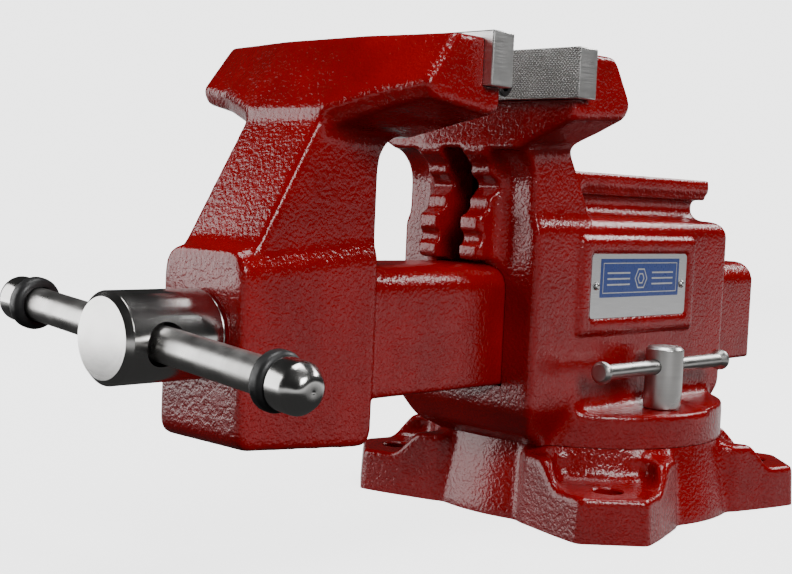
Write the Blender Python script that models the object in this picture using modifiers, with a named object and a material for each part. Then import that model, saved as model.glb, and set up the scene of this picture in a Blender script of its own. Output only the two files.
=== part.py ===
"""Swivel-base bench vise with 165 mm jaws, modelled at rest with the jaws 50 mm apart.

Frame: origin at the swivel axis on the bench plane, +Z up, +Y from the handle towards the
rear, +X along the jaws towards the name plate. Lengths are in metres.
"""

import math

import bmesh
import bpy
from mathutils import Matrix, Vector

MM = 0.001
FIT = 0.3 * MM
PAST = 5 * MM

# Swivel base
BASE_TOP = 41 * MM
BASE_TOP_RADIUS = 84 * MM
BASE_FOOT_RADIUS = 92 * MM
LUG_ANGLES = (45, 135, 225, 315)
LUG_TOP = 23.3 * MM
LUG_REACH = 127 * MM
LUG_END_HALF = 17.5 * MM
LUG_SHOULDER = 113 * MM
LUG_SHOULDER_HALF = 26 * MM
LUG_ROOT = 84 * MM
LUG_ROOT_HALF = 42 * MM
GUSSET_TOP = 37 * MM
GUSSET_INNER_HALF = 27.5 * MM
GUSSET_CREST = 92 * MM
BOLT_CIRCLE = 107 * MM
BOLT_HOLE = 8 * MM
RELIEF_DEPTH = 8 * MM
RELIEF_INNER = 30 * MM
RELIEF_OUTER = 80 * MM

# Annular T-slot for the two lockdown bolts
LOCK_X = 64 * MM
LOCK_Y = -9 * MM
LOCK_RADIUS = math.hypot(LOCK_X, LOCK_Y)
SLOT_NECK_HALF = 6.7 * MM
SLOT_HALF = 13 * MM
SLOT_FLOOR = 15 * MM
SLOT_LIP = 29 * MM

# Swivelling body
SWIVEL_PLANE = BASE_TOP + FIT
FLANGE_RADIUS = 84 * MM
LEDGE = 59.4 * MM
BODY_HALF = 47 * MM
BODY_FRONT = -108 * MM
BODY_REAR = 83 * MM
BODY_EDGE = 7 * MM
ARM_HALF = 44 * MM
ANVIL_HALF = 38 * MM
ANVIL_FRONT = -75 * MM
ANVIL_REAR = 74 * MM
ANVIL_TOP = 189 * MM
ANVIL_THICK = 10 * MM
ANVIL_CORE_HALF = 22 * MM
ARM_CORE_HALF = 32 * MM

# Pipe jaws: toothed ribs in the throat, two on the body and one on the moving jaw
RIB_INNER = 8 * MM
RIB_OUTER = 21.8 * MM
RIB_FRONT = -124.5 * MM
RIB_ROOT = -100 * MM
RIB_SLOT_HALF = 7.5 * MM
RIB_SLOT_TOP = 197 * MM
RIB_SLOT_CORNER = 4 * MM
RIB_SLOT_REAR = -92 * MM
MATING_RIB_HALF = 6.5 * MM
MATING_RIB_FRONT = -188 * MM
MATING_RIB_ROOT = -215 * MM

# Jaws
OPENING = 50 * MM
STATIC_FACE = -129 * MM
MOVING_FACE = STATIC_FACE - OPENING
INSERT_HALF = 82.5 * MM
INSERT_THICK = 14.7 * MM
INSERT_LOW = 221.7 * MM
INSERT_TOP = 246.2 * MM
JAW_HALF = 77.3 * MM
SCREW_X = 36.6 * MM
SCREW_Z = 228.2 * MM
SCREW_BORE = 3.4 * MM
SCREW_BORE_DEPTH = 30 * MM
SCREW_HEAD_BORE = 4.9 * MM
SCREW_HEAD_DEPTH = 7 * MM

# Slide bar, an inverted U in section
SLIDE_HALF = 27 * MM
SLIDE_LOW = 74.8 * MM
SLIDE_TOP = 138 * MM
SLIDE_CORNER = 13 * MM
SLIDE_REAR = 154.3 * MM
SLIDE_WALL = 9 * MM
SLIDE_PLAY = 0.6 * MM
CAVITY_FRONT = -272 * MM

# Front jaw arm and boss
BOSS_HALF = 28.5 * MM
FRONT_ARM_HALF = 26 * MM
BOSS_FRONT = -285.8 * MM
THROAT_Y = -204 * MM

# Spindle
AXIS_Z = 107.2 * MM
SCREW_RADIUS = 11 * MM
SCREW_FRONT = -306 * MM
SCREW_REAR = 95 * MM
HEAD_RADIUS = 20 * MM
HEAD_FRONT = -336.9 * MM
HEAD_REAR = -288.4 * MM
COLLAR_RADIUS = 16 * MM
COLLAR_LENGTH = 9.8 * MM
WASHER_RADIUS = 19 * MM
WASHER_THICK = 2.1 * MM
HEAD_PIN_Y = -297 * MM
NUT_FRONT = -62 * MM
NUT_REAR = -18 * MM
NUT_BOLT_Y = -40 * MM
NUT_HALF = 16.5 * MM
NUT_TOP = 122 * MM
NUT_BOLT_RADIUS = 6 * MM
NUT_BOLT_TOP = 89 * MM
NUT_BOLT_HEAD_RADIUS = 9.8 * MM
NUT_BOLT_HEAD = 43 * MM
NUT_BOLT_SEAT = 50.5 * MM

# Handle
HANDLE_Y = -318 * MM
HANDLE_TILT = math.radians(4.9)
BAR_RADIUS = 7.75 * MM
HANDLE_SHIFT = 3 * MM
BAR_HALF = 97 * MM
HANDLE_HALF = 106 * MM
KNOB_RADIUS = 10.6 * MM
RING_RADIUS = 12.2 * MM
RING_FROM = 81.4 * MM
RING_TO = 89.4 * MM

# Lockdown bolts
POST_RADIUS = 10.5 * MM
POST_TOP = 94.5 * MM
LOCK_SHANK = 6 * MM
LOCK_BAR_Z = 83.3 * MM
LOCK_BAR_RADIUS = 4 * MM
LOCK_BAR_HALF = 63 * MM
LOCK_CAP_RADIUS = 6 * MM
T_NUT_HALF = 11 * MM

# Pivot bolt
PIVOT_RADIUS = 6 * MM
PIVOT_HEAD_RADIUS = 10 * MM
PIVOT_HEAD_HEIGHT = 8 * MM
PIVOT_WASHER_THICK = 2.3 * MM
PIVOT_SEAT = 61.4 * MM
PIVOT_END = 13 * MM

# Name plate
PLATE_FRONT = -61.4 * MM
PLATE_REAR = 34 * MM
PLATE_LOW = 110 * MM
PLATE_HIGH = 145 * MM
PLATE_THICK = 0.9 * MM
BEZEL_RISE = 2.4 * MM
BEZEL_RIM = 6.5 * MM
RIVET_INSET = 4.8 * MM
RIVET_RADIUS = 1.2 * MM
RIVET_BORE = 1.5 * MM
RIVET_HEAD_RADIUS = 2.3 * MM
RIVET_END = 42 * MM

ALONG_X = Matrix.Rotation(math.radians(90), 4, "Y")
ALONG_Y = Matrix.Rotation(math.radians(-90), 4, "X")
SPINDLE_PLACE = Matrix.Translation((0, 0, AXIS_Z)) @ ALONG_Y
CROSS_HOLE_PLACE = (
    Matrix.Translation((0, HANDLE_Y, AXIS_Z)) @ Matrix.Rotation(HANDLE_TILT, 4, "Y") @ ALONG_X
)
HANDLE_PLACE = CROSS_HOLE_PLACE @ Matrix.Translation((0, 0, HANDLE_SHIFT))
OUTLINE_PLANES = {
    "X": Matrix(((0, 0, 1, 0), (1, 0, 0, 0), (0, 1, 0, 0), (0, 0, 0, 1))),
    "Y": Matrix(((1, 0, 0, 0), (0, 0, 1, 0), (0, 1, 0, 0), (0, 0, 0, 1))),
    "Z": Matrix.Identity(4),
}
SEGMENTS = 40
SMALL_SEGMENTS = 24


def new_collection(name):
    collection = bpy.data.collections.new(name)
    bpy.context.scene.collection.children.link(collection)
    return collection


def new_material(name, colour, roughness, metallic):
    material = bpy.data.materials.new(name)
    material.use_nodes = True
    shader = material.node_tree.nodes["Principled BSDF"]
    shader.inputs["Base Color"].default_value = (*colour, 1)
    shader.inputs["Roughness"].default_value = roughness
    shader.inputs["Metallic"].default_value = metallic
    return material


def solid(name, bm, place=None):
    """A mesh object from a bmesh, in the cutters' collection until keep() takes it."""
    bmesh.ops.recalc_face_normals(bm, faces=bm.faces)
    if bm.calc_volume(signed=True) < 0:
        bmesh.ops.reverse_faces(bm, faces=bm.faces)
    mesh = bpy.data.meshes.new(name)
    bm.to_mesh(mesh)
    bm.free()
    obj = bpy.data.objects.new(name, mesh)
    obj.matrix_world = place or Matrix.Identity(4)
    obj.hide_render = True
    obj.display_type = "WIRE"
    CUTTERS.objects.link(obj)
    return obj


def box(name, low, high, place=None):
    bm = bmesh.new()
    size = Vector(high) - Vector(low)
    middle = (Vector(high) + Vector(low)) / 2
    stretch = Matrix.Translation(middle) @ Matrix.Diagonal((*size, 1))
    bmesh.ops.create_cube(bm, size=1, matrix=stretch)
    return solid(name, bm, place)


def cylinder(name, radius, low, high, place=None, top_radius=None, segments=SEGMENTS):
    """A cylinder or cone along its own Z between two heights."""
    bm = bmesh.new()
    bmesh.ops.create_cone(
        bm,
        cap_ends=True,
        segments=segments,
        radius1=radius,
        radius2=radius if top_radius is None else top_radius,
        depth=high - low,
        matrix=Matrix.Translation((0, 0, (low + high) / 2)),
    )
    return solid(name, bm, place)


def turned(name, profile, place=None, closed=False, segments=SEGMENTS):
    """A profile of (radius, height) points, outer side downwards, turned about its own Z."""
    bm = bmesh.new()
    points = [bm.verts.new((radius, 0, height)) for radius, height in profile]
    for first, second in zip(points, points[1:]):
        bm.edges.new((first, second))
    if closed:
        bm.edges.new((points[-1], points[0]))
    obj = solid(name, bm, place)
    screw = obj.modifiers.new("turn", "SCREW")
    screw.steps = segments
    screw.render_steps = segments
    screw.use_merge_vertices = True
    screw.merge_threshold = 0.00001
    return obj


def prism(name, outline, axis, low, high):
    """A closed flat outline extruded along X (outline in Y, Z), Y (in X, Z) or Z (in X, Y)."""
    curve = bpy.data.curves.new(name, "CURVE")
    curve.dimensions = "2D"
    curve.fill_mode = "BOTH"
    curve.extrude = (high - low) / 2
    spline = curve.splines.new("POLY")
    spline.points.add(len(outline) - 1)
    for point, (across, up) in zip(spline.points, outline):
        point.co = (across, up, 0, 1)
    spline.use_cyclic_u = True
    flat = bpy.data.objects.new(name + "_outline", curve)
    CUTTERS.objects.link(flat)
    graph = bpy.context.evaluated_depsgraph_get()
    mesh = bpy.data.meshes.new_from_object(flat.evaluated_get(graph))
    bpy.data.objects.remove(flat)
    bm = bmesh.new()
    bm.from_mesh(mesh)
    bmesh.ops.remove_doubles(bm, verts=bm.verts, dist=0.000001)
    bm.transform(OUTLINE_PLANES[axis] @ Matrix.Translation((0, 0, (low + high) / 2)))
    return solid(name, bm)


def loft(name, sections, place=None):
    """A skin through closed rings of the same number of points, capped at both ends."""
    bm = bmesh.new()
    rings = [[bm.verts.new(point) for point in ring] for ring in sections]
    for ring, following in zip(rings, rings[1:]):
        for index in range(len(ring)):
            after = (index + 1) % len(ring)
            bm.faces.new((ring[index], ring[after], following[after], following[index]))
    bm.faces.new(rings[0])
    bm.faces.new(rings[-1])
    return solid(name, bm, place)


def arc(centre, radius, start, end, steps=6):
    """Points on an arc, angles in degrees."""
    points = []
    for step in range(steps + 1):
        angle = math.radians(start + (end - start) * step / steps)
        across = centre[0] + radius * math.cos(angle)
        points.append((across, centre[1] + radius * math.sin(angle)))
    return points


def in_mm(points):
    return [tuple(value * MM for value in point) for point in points]


def bevel(obj, width, segments=2, angle=40):
    modifier = obj.modifiers.new("edges", "BEVEL")
    modifier.width = width
    modifier.segments = segments
    modifier.limit_method = "ANGLE"
    modifier.angle_limit = math.radians(angle)
    return obj


def boolean(obj, operation, tools, solver):
    for tool in tools:
        modifier = obj.modifiers.new(operation.lower(), "BOOLEAN")
        modifier.operation = operation
        modifier.solver = solver
        modifier.object = tool
    return obj


def cut(obj, *tools, solver="EXACT"):
    return boolean(obj, "DIFFERENCE", tools, solver)


def join(obj, *tools, solver="EXACT"):
    return boolean(obj, "UNION", tools, solver)


def keep(obj, material):
    """Makes a finished shape one of the vise's pieces."""
    CUTTERS.objects.unlink(obj)
    VISE.objects.link(obj)
    obj.hide_render = False
    obj.display_type = "TEXTURED"
    obj.data.materials.append(material)
    obj.data.shade_smooth()
    obj.data.set_sharp_from_angle(angle=math.radians(35))
    return obj


def carry(name, location, pieces):
    """Parents pieces to an empty on their joint's axis, without moving them."""
    pivot = bpy.data.objects.new(name, None)
    pivot.location = location
    VISE.objects.link(pivot)
    back = Matrix.Translation(-Vector(location))
    for piece in pieces:
        piece.parent = pivot
        piece.matrix_parent_inverse = back
    return pivot


def lug(angle):
    """One bolt lug of the base, with its two gusset walls."""
    place = Matrix.Rotation(math.radians(angle), 4, "Z")
    half_outline = [
        (LUG_REACH, LUG_END_HALF),
        (LUG_SHOULDER, LUG_SHOULDER_HALF),
        (LUG_ROOT, LUG_ROOT_HALF),
        (RELIEF_OUTER - PAST, LUG_ROOT_HALF),
    ]
    outline = half_outline + [(across, -along) for across, along in reversed(half_outline)]
    pieces = [prism(f"lug_{angle}", outline, "Z", 0, LUG_TOP)]
    pieces[0].matrix_world = place
    bevel(pieces[0], 2 * MM, 1)
    outer_half = LUG_SHOULDER_HALF + 2 * MM
    for side in (1, -1):
        root = [
            (RELIEF_OUTER, side * GUSSET_INNER_HALF, PAST),
            (RELIEF_OUTER, side * (LUG_ROOT_HALF + 2 * MM), PAST),
            (RELIEF_OUTER, side * (LUG_ROOT_HALF - 2 * MM), GUSSET_TOP),
            (RELIEF_OUTER, side * GUSSET_INNER_HALF, GUSSET_TOP),
        ]
        middle = [
            (GUSSET_CREST, side * GUSSET_INNER_HALF, PAST),
            (GUSSET_CREST, side * (LUG_ROOT_HALF - 5 * MM), PAST),
            (GUSSET_CREST, side * (LUG_ROOT_HALF - 7 * MM), GUSSET_TOP - 1 * MM),
            (GUSSET_CREST, side * GUSSET_INNER_HALF, GUSSET_TOP - 1 * MM),
        ]
        toe_y = LUG_SHOULDER - 5 * MM
        toe = [
            (toe_y, side * (GUSSET_INNER_HALF - 2 * MM), PAST),
            (toe_y, side * outer_half, PAST),
            (toe_y, side * outer_half, LUG_TOP + 0.3 * MM),
            (toe_y, side * (GUSSET_INNER_HALF - 2 * MM), LUG_TOP + 0.3 * MM),
        ]
        pieces.append(loft(f"gusset_{angle}_{side}", [root, middle, toe], place))
    return pieces


def make_swivel_base():
    base = cylinder("swivel_base", BASE_FOOT_RADIUS, 0, BASE_TOP, None, BASE_TOP_RADIUS, 64)
    for angle in LUG_ANGLES:
        join(base, *lug(angle), solver="MANIFOLD")
    for angle in LUG_ANGLES:
        turn = Matrix.Rotation(math.radians(angle), 4, "Z")
        place = turn @ Matrix.Translation((BOLT_CIRCLE, 0, 0))
        hole = cylinder(f"lug_hole_{angle}", BOLT_HOLE, -PAST, GUSSET_TOP, place, None, SMALL_SEGMENTS)
        cut(base, hole, solver="MANIFOLD")
    slot = [
        (LOCK_RADIUS + SLOT_NECK_HALF, BASE_TOP + PAST),
        (LOCK_RADIUS + SLOT_NECK_HALF, SLOT_LIP),
        (LOCK_RADIUS + SLOT_HALF, SLOT_LIP),
        (LOCK_RADIUS + SLOT_HALF, SLOT_FLOOR),
        (LOCK_RADIUS - SLOT_HALF, SLOT_FLOOR),
        (LOCK_RADIUS - SLOT_HALF, SLOT_LIP),
        (LOCK_RADIUS - SLOT_NECK_HALF, SLOT_LIP),
        (LOCK_RADIUS - SLOT_NECK_HALF, BASE_TOP + PAST),
    ]
    relief = [
        (RELIEF_OUTER, RELIEF_DEPTH),
        (RELIEF_OUTER, -PAST),
        (RELIEF_INNER, -PAST),
        (RELIEF_INNER, RELIEF_DEPTH),
    ]
    entry = Matrix.Translation((0, LOCK_RADIUS, 0))
    pivot_thread = cylinder(
        "pivot_thread", PIVOT_RADIUS + FIT, PIVOT_END - FIT, BASE_TOP + PAST, None, None, SMALL_SEGMENTS
    )
    cut(
        base,
        turned("t_slot", slot, None, True, 64),
        turned("relief", relief, None, True, 64),
        cylinder("t_nut_entry", SLOT_HALF, -PAST, SLOT_FLOOR + PAST, entry),
        pivot_thread,
        solver="MANIFOLD",
    )
    return [keep(base, PAINT)]


def make_pivot():
    """The centre bolt that the body turns on, screwed into the base's hub, and its washer."""
    head_low = PIVOT_SEAT + PIVOT_WASHER_THICK + FIT
    head_high = head_low + PIVOT_HEAD_HEIGHT
    profile = [
        (0, head_high),
        (PIVOT_HEAD_RADIUS - 1 * MM, head_high),
        (PIVOT_HEAD_RADIUS, head_high - 1 * MM),
        (PIVOT_HEAD_RADIUS, head_low),
        (PIVOT_RADIUS, head_low),
        (PIVOT_RADIUS, PIVOT_END),
        (0, PIVOT_END),
    ]
    bolt = turned("pivot_bolt", profile, None, False, SMALL_SEGMENTS)
    socket_low = head_low + 3 * MM
    socket = cylinder("pivot_socket", PIVOT_HEAD_RADIUS / 2, socket_low, head_high + PAST, None, None, 6)
    keep(cut(bolt, socket), DARK_STEEL)
    outer = PIVOT_HEAD_RADIUS + 0.8 * MM
    inner = PIVOT_RADIUS + FIT
    low, high = PIVOT_SEAT + FIT, PIVOT_SEAT + PIVOT_WASHER_THICK
    ring = [(outer, high), (outer, low), (inner, low), (inner, high)]
    washer = keep(turned("pivot_washer", ring, None, True, SMALL_SEGMENTS), STEEL)
    return [bolt, washer]


def pipe_rib(name, low_x, high_x, front, root, outward):
    """A toothed rib in the throat: one deep stepped hollow for pipe, and a small one below.

    Each pair is a tooth's reach behind the rib's crest, and its height, in millimetres.
    """
    teeth = in_mm(
        [
            (0.5, 194),
            (4, 192),
            (6.8, 190),
            (7, 184),
            (11, 181.5),
            (13.5, 178.5),
            (11, 175.5),
            (7.5, 172.5),
            (7, 166),
            (4, 164),
            (0, 162.5),
            (0, 155.5),
            (2.6, 153.5),
            (2.8, 149),
            (0, 147),
            (0, 139.6),
        ]
    )
    outline = [(front + outward * reach, height) for reach, height in teeth]
    outline += [(root, teeth[-1][1]), (root, 206 * MM), (front, 206 * MM)]
    return prism(name, outline, "X", low_x, high_x)


def slide_outline(half, low, top, corner):
    """A box section in X, Z whose two upper corners are round."""
    left = arc((-half + corner, top - corner), corner, 180, 90)
    right = arc((half - corner, top - corner), corner, 90, 0)
    return [(-half, low)] + left + right + [(half, low)]


def insert_seat(name, face, behind):
    """The step that a jaw insert sits in: from the mouth back to just behind the insert."""
    depth = face + behind * (INSERT_THICK + FIT)
    low, high = sorted((face - behind * PAST * 2, depth))
    return box(name, (-JAW_HALF * 2, low, INSERT_LOW - FIT), (JAW_HALF * 2, high, INSERT_TOP * 2))


def screw_bores(name, face, behind, radius=SCREW_BORE, depth=SCREW_BORE_DEPTH):
    low, high = sorted((face, face + behind * depth))
    bores = []
    for side in (1, -1):
        place = Matrix.Translation((side * SCREW_X, 0, SCREW_Z)) @ ALONG_Y
        bores.append(cylinder(f"{name}_{side}", radius, low, high, place, None, SMALL_SEGMENTS))
    return bores


def make_rear_jaw_head():
    """The cross head of the fixed jaw, whose underside drops towards the arm."""
    end = in_mm(
        [(-124, 211.7), (-124, 245), (-92, 245), (-88, 241.6), (-76.7, 225), (-75.4, 220.5), (-80.2, 215)]
    )
    middle = in_mm(
        [(-124, 197), (-124, 245), (-88, 245), (-84, 241.6), (-74, 225), (-73, 218), (-82, 199)]
    )
    rings = []
    for across, section in ((-JAW_HALF, end), (-ARM_HALF, middle), (ARM_HALF, middle), (JAW_HALF, end)):
        rings.append([(across, along, up) for along, up in section])
    return bevel(loft("rear_jaw_head", rings), 1.5 * MM, 1)


def make_vise_body():
    shell = in_mm(
        [(-108, 68), (-105, 57), (-97, 49), (-84, 44), (62, 44), (76, 52), (83, 66)]
        + [(83, 157), (81, 162), (76, 164.3), (-108, 164.3)]
    )
    body = bevel(prism("vise_body", shell, "X", -BODY_HALF, BODY_HALF), BODY_EDGE, 3, 60)
    arm = in_mm(
        [(-108, 150), (-108, 188), (-111, 194), (-118, 199), (-118, 222)]
        + [(-90, 222), (-85.3, 209), (-61, 170), (-55, 150)]
    )
    flange = cylinder("flange", FLANGE_RADIUS, SWIVEL_PLANE, LEDGE, None, None, 64)
    anvil_neck = box("anvil_neck", (-32 * MM, -80 * MM, 160 * MM), (32 * MM, 68 * MM, 182 * MM))
    anvil_low = (-ANVIL_HALF, ANVIL_FRONT, ANVIL_TOP - ANVIL_THICK)
    anvil = box("anvil", anvil_low, (ANVIL_HALF, ANVIL_REAR, ANVIL_TOP))
    bezel_low = (BODY_HALF - 3 * MM, PLATE_FRONT - BEZEL_RIM, PLATE_LOW - BEZEL_RIM)
    bezel_high = (BODY_HALF + BEZEL_RISE, PLATE_REAR + BEZEL_RIM, PLATE_HIGH + BEZEL_RIM)
    join(
        body,
        bevel(prism("arm", arm, "X", -ARM_HALF, ARM_HALF), 3 * MM, 1, 60),
        make_rear_jaw_head(),
        bevel(flange, 1.5 * MM, 1),
        anvil_neck,
        bevel(anvil, 1.5 * MM, 1),
        pipe_rib("rib_right", RIB_INNER, RIB_OUTER, RIB_FRONT, RIB_ROOT, 1),
        pipe_rib("rib_left", -RIB_OUTER, -RIB_INNER, RIB_FRONT, RIB_ROOT, 1),
        bevel(box("bezel", bezel_low, bezel_high), 1.5 * MM, 1),
    )
    channel = slide_outline(
        SLIDE_HALF + SLIDE_PLAY, SLIDE_LOW - SLIDE_PLAY, SLIDE_TOP + SLIDE_PLAY, SLIDE_CORNER + SLIDE_PLAY
    )
    arm_core = in_mm([(-97, 130), (-97, 198), (-90.5, 198.4), (-69.5, 164.7), (-69.5, 130)])
    rib_slot = slide_outline(RIB_SLOT_HALF, SLIDE_TOP - PAST, RIB_SLOT_TOP, RIB_SLOT_CORNER)
    anvil_core_low = (-ANVIL_CORE_HALF, -45 * MM, SLIDE_TOP - PAST)
    anvil_core_high = (ANVIL_CORE_HALF, 60 * MM, ANVIL_TOP - ANVIL_THICK - 1 * MM)
    pocket_low = (BODY_HALF + 0.5 * MM, PLATE_FRONT - 1 * MM, PLATE_LOW - 1 * MM)
    pocket_high = (BODY_HALF + PAST, PLATE_REAR + 1 * MM, PLATE_HIGH + 1 * MM)
    nut_bolt_place = Matrix.Translation((0, NUT_BOLT_Y, 0))
    nut_bolt_bore = NUT_BOLT_RADIUS + FIT
    nut_bolt_recess = (NUT_BOLT_HEAD_RADIUS + 0.7 * MM, 30 * MM, NUT_BOLT_SEAT + 0.5 * MM)
    cut(
        body,
        insert_seat("rear_seat", STATIC_FACE, 1),
        prism("channel", channel, "Y", BODY_FRONT - 30 * MM, BODY_REAR + 30 * MM),
        prism("arm_core", arm_core, "X", -ARM_CORE_HALF, ARM_CORE_HALF),
        prism("rib_slot", rib_slot, "Y", BODY_FRONT - PAST, RIB_SLOT_REAR),
        box("anvil_core", anvil_core_low, anvil_core_high),
        box("plate_pocket", pocket_low, pocket_high),
        cylinder("pivot_seat", 11.3 * MM, PIVOT_SEAT, 90 * MM, None, None, SMALL_SEGMENTS),
        cylinder("pivot_bore", PIVOT_RADIUS + FIT, 30 * MM, 90 * MM, None, None, SMALL_SEGMENTS),
        cylinder("nut_bolt_bore", nut_bolt_bore, 30 * MM, 90 * MM, nut_bolt_place, None, SMALL_SEGMENTS),
        cylinder("nut_bolt_recess", *nut_bolt_recess, nut_bolt_place, None, SMALL_SEGMENTS),
        *screw_bores("rear_screw_bore", STATIC_FACE, 1),
    )
    for side in (1, -1):
        place = Matrix.Translation((side * LOCK_X, LOCK_Y, 0))
        bore = cylinder(f"lock_bore_{side}", LOCK_SHANK + FIT, 30 * MM, 70 * MM, place, None, SMALL_SEGMENTS)
        cut(body, bore)
    for name, along in rivet_places():
        place = Matrix.Translation((0, along, (PLATE_LOW + PLATE_HIGH) / 2)) @ ALONG_X
        cut(body, cylinder(name + "_bore", RIVET_BORE, RIVET_END - 2 * MM, BODY_HALF + PAST, place, None, 16))
    return [keep(body, PAINT)]


def make_insert(name, face, behind):
    """A replaceable jaw face with two counterbored screw holes."""
    low, high = sorted((face, face + behind * INSERT_THICK))
    insert = box(name, (-INSERT_HALF, low, INSERT_LOW), (INSERT_HALF, high, INSERT_TOP))
    bevel(insert, 0.6 * MM, 1)
    mouth = face - behind * PAST
    head_depth = PAST + SCREW_HEAD_DEPTH
    cut(insert, *screw_bores(name + "_counterbore", mouth, behind, SCREW_HEAD_BORE, head_depth))
    cut(insert, *screw_bores(name + "_hole", mouth, behind))
    return keep(insert, STEEL)


def make_insert_screws(name, face, behind):
    """The two cap screws of an insert, each with a hexagon socket."""
    screws = []
    head_front = face + behind * 2 * MM
    for side, word in ((1, "right"), (-1, "left")):
        turn = ALONG_Y if behind < 0 else Matrix.Rotation(math.radians(90), 4, "X")
        place = Matrix.Translation((side * SCREW_X, head_front, SCREW_Z)) @ turn
        profile = in_mm([(0, 0), (3.8, 0), (4.5, -0.7), (4.5, -4.6), (3, -4.6), (3, -22), (0, -22)])
        screw = turned(f"{name}_screw_{word}", profile, place, False, 20)
        cut(screw, cylinder(f"{name}_socket_{word}", 2.4 * MM, -2.5 * MM, PAST, place, None, 6))
        screws.append(keep(screw, DARK_STEEL))
    return screws


def rivet_places():
    return (
        ("plate_rivet_front", PLATE_FRONT + RIVET_INSET),
        ("plate_rivet_rear", PLATE_REAR - RIVET_INSET),
    )


def make_name_plate():
    face = BODY_HALF + 0.5 * MM + FIT + PLATE_THICK
    plate_low = (face - PLATE_THICK, PLATE_FRONT, PLATE_LOW)
    plate = box("name_plate", plate_low, (face, PLATE_REAR, PLATE_HIGH))
    pieces = []
    for name, along in rivet_places():
        place = Matrix.Translation((0, along, (PLATE_LOW + PLATE_HIGH) / 2)) @ ALONG_X
        cut(plate, cylinder(name + "_hole", RIVET_BORE, RIVET_END, face + PAST, place, None, 16))
        under = face + FIT
        dome = arc((0, under), RIVET_HEAD_RADIUS, 90, 0, 4)
        outline = [(radius, under + (up - under) * 0.55) for radius, up in dome]
        outline += [(RIVET_RADIUS, under), (RIVET_RADIUS, RIVET_END), (0, RIVET_END)]
        outline[0] = (0, outline[0][1])
        pieces.append(keep(turned(name, outline, place, False, 16), STEEL))
    pieces.append(keep(bevel(plate, 0.2 * MM, 1), PLATE_METAL))
    return pieces


def make_spindle_nut():
    """The nut block that stands on the channel's floor inside the slide bar, and its bolt."""
    low = SLIDE_LOW - SLIDE_PLAY + FIT
    nut = box("spindle_nut", (-NUT_HALF, NUT_FRONT, low), (NUT_HALF, NUT_REAR, NUT_TOP))
    bevel(nut, 2 * MM, 1)
    bolt_place = Matrix.Translation((0, NUT_BOLT_Y, 0))
    cut(
        nut,
        cylinder("nut_bore", SCREW_RADIUS + FIT, NUT_FRONT - PAST, NUT_REAR + PAST, SPINDLE_PLACE),
        cylinder("nut_thread", NUT_BOLT_RADIUS + FIT, 60 * MM, 90 * MM, bolt_place, None, SMALL_SEGMENTS),
    )
    profile = [
        (0, NUT_BOLT_TOP),
        (NUT_BOLT_RADIUS, NUT_BOLT_TOP),
        (NUT_BOLT_RADIUS, NUT_BOLT_SEAT),
        (NUT_BOLT_HEAD_RADIUS, NUT_BOLT_SEAT),
        (NUT_BOLT_HEAD_RADIUS, NUT_BOLT_HEAD),
        (0, NUT_BOLT_HEAD),
    ]
    bolt = turned("spindle_nut_bolt", profile, bolt_place, False, SMALL_SEGMENTS)
    socket = (5 * MM, NUT_BOLT_HEAD - PAST, NUT_BOLT_HEAD + 4 * MM)
    cut(bolt, cylinder("nut_bolt_socket", *socket, bolt_place, None, 6))
    return [keep(nut, IRON), keep(bolt, DARK_STEEL)]


def make_front_jaw_head():
    """The cross head of the moving jaw, swept back at its ends and sloping with the arm."""
    sections = {
        JAW_HALF: [(-184.5, 243.3), (-211.5, 243.3), (-229.5, 220.5), (-226, 213.6), (-186.5, 209)],
        52 * MM: [(-184.5, 243.3), (-216, 243.3), (-235, 216), (-231, 208), (-186.5, 203.5)],
        BOSS_HALF: [(-184.5, 243.3), (-220, 243.3), (-243, 208), (-238, 199), (-186.5, 198)],
        0: [(-184.5, 243.3), (-221.5, 243.3), (-244, 208), (-238, 198), (-186.5, 197.5)],
    }
    rings = []
    for across in (-JAW_HALF, -52 * MM, -BOSS_HALF, 0, BOSS_HALF, 52 * MM, JAW_HALF):
        rings.append([(across, along, up) for along, up in in_mm(sections[abs(across)])])
    return loft("front_jaw_head", rings)


def make_front_jaw():
    boss_side = in_mm(
        [(-285.8, 62), (-283, 58.5), (-214, 52.5), (-207, 55), (-204, 60), (-204, 146), (-281, 146)]
        + [(-285.8, 142)]
    )
    jaw = bevel(prism("front_jaw", boss_side, "X", -BOSS_HALF, BOSS_HALF), 6 * MM, 2, 60)
    throat_corner = [(along * MM, up * MM) for along, up in arc((-186, 183), 18, 180, 100, 5)]
    arm = in_mm([(-204, 120)]) + throat_corner + in_mm(
        [(-186.5, 215), (-224, 236), (-242.5, 208), (-277, 145.5), (-277, 120)]
    )
    section = slide_outline(SLIDE_HALF, SLIDE_LOW, SLIDE_TOP, SLIDE_CORNER)
    inside = slide_outline(
        SLIDE_HALF - SLIDE_WALL, SLIDE_LOW - PAST, SLIDE_TOP - SLIDE_WALL, SLIDE_CORNER - SLIDE_WALL
    )
    spindle_bore = SCREW_RADIUS + 0.5 * MM
    join(
        jaw,
        bevel(prism("front_arm", arm, "X", -FRONT_ARM_HALF, FRONT_ARM_HALF), 2 * MM, 1, 60),
        make_front_jaw_head(),
        prism("slide", section, "Y", -230 * MM, SLIDE_REAR),
        pipe_rib("mating_rib", -MATING_RIB_HALF, MATING_RIB_HALF, MATING_RIB_FRONT, MATING_RIB_ROOT, -1),
        solver="MANIFOLD",
    )
    cut(
        jaw,
        prism("slide_cavity", inside, "Y", CAVITY_FRONT, SLIDE_REAR + PAST),
        cylinder("spindle_bore", spindle_bore, BOSS_FRONT - PAST, CAVITY_FRONT + PAST, SPINDLE_PLACE),
        insert_seat("front_seat", MOVING_FACE, -1),
        *screw_bores("front_screw_bore", MOVING_FACE, -1),
    )
    return [keep(jaw, PAINT)]


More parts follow.
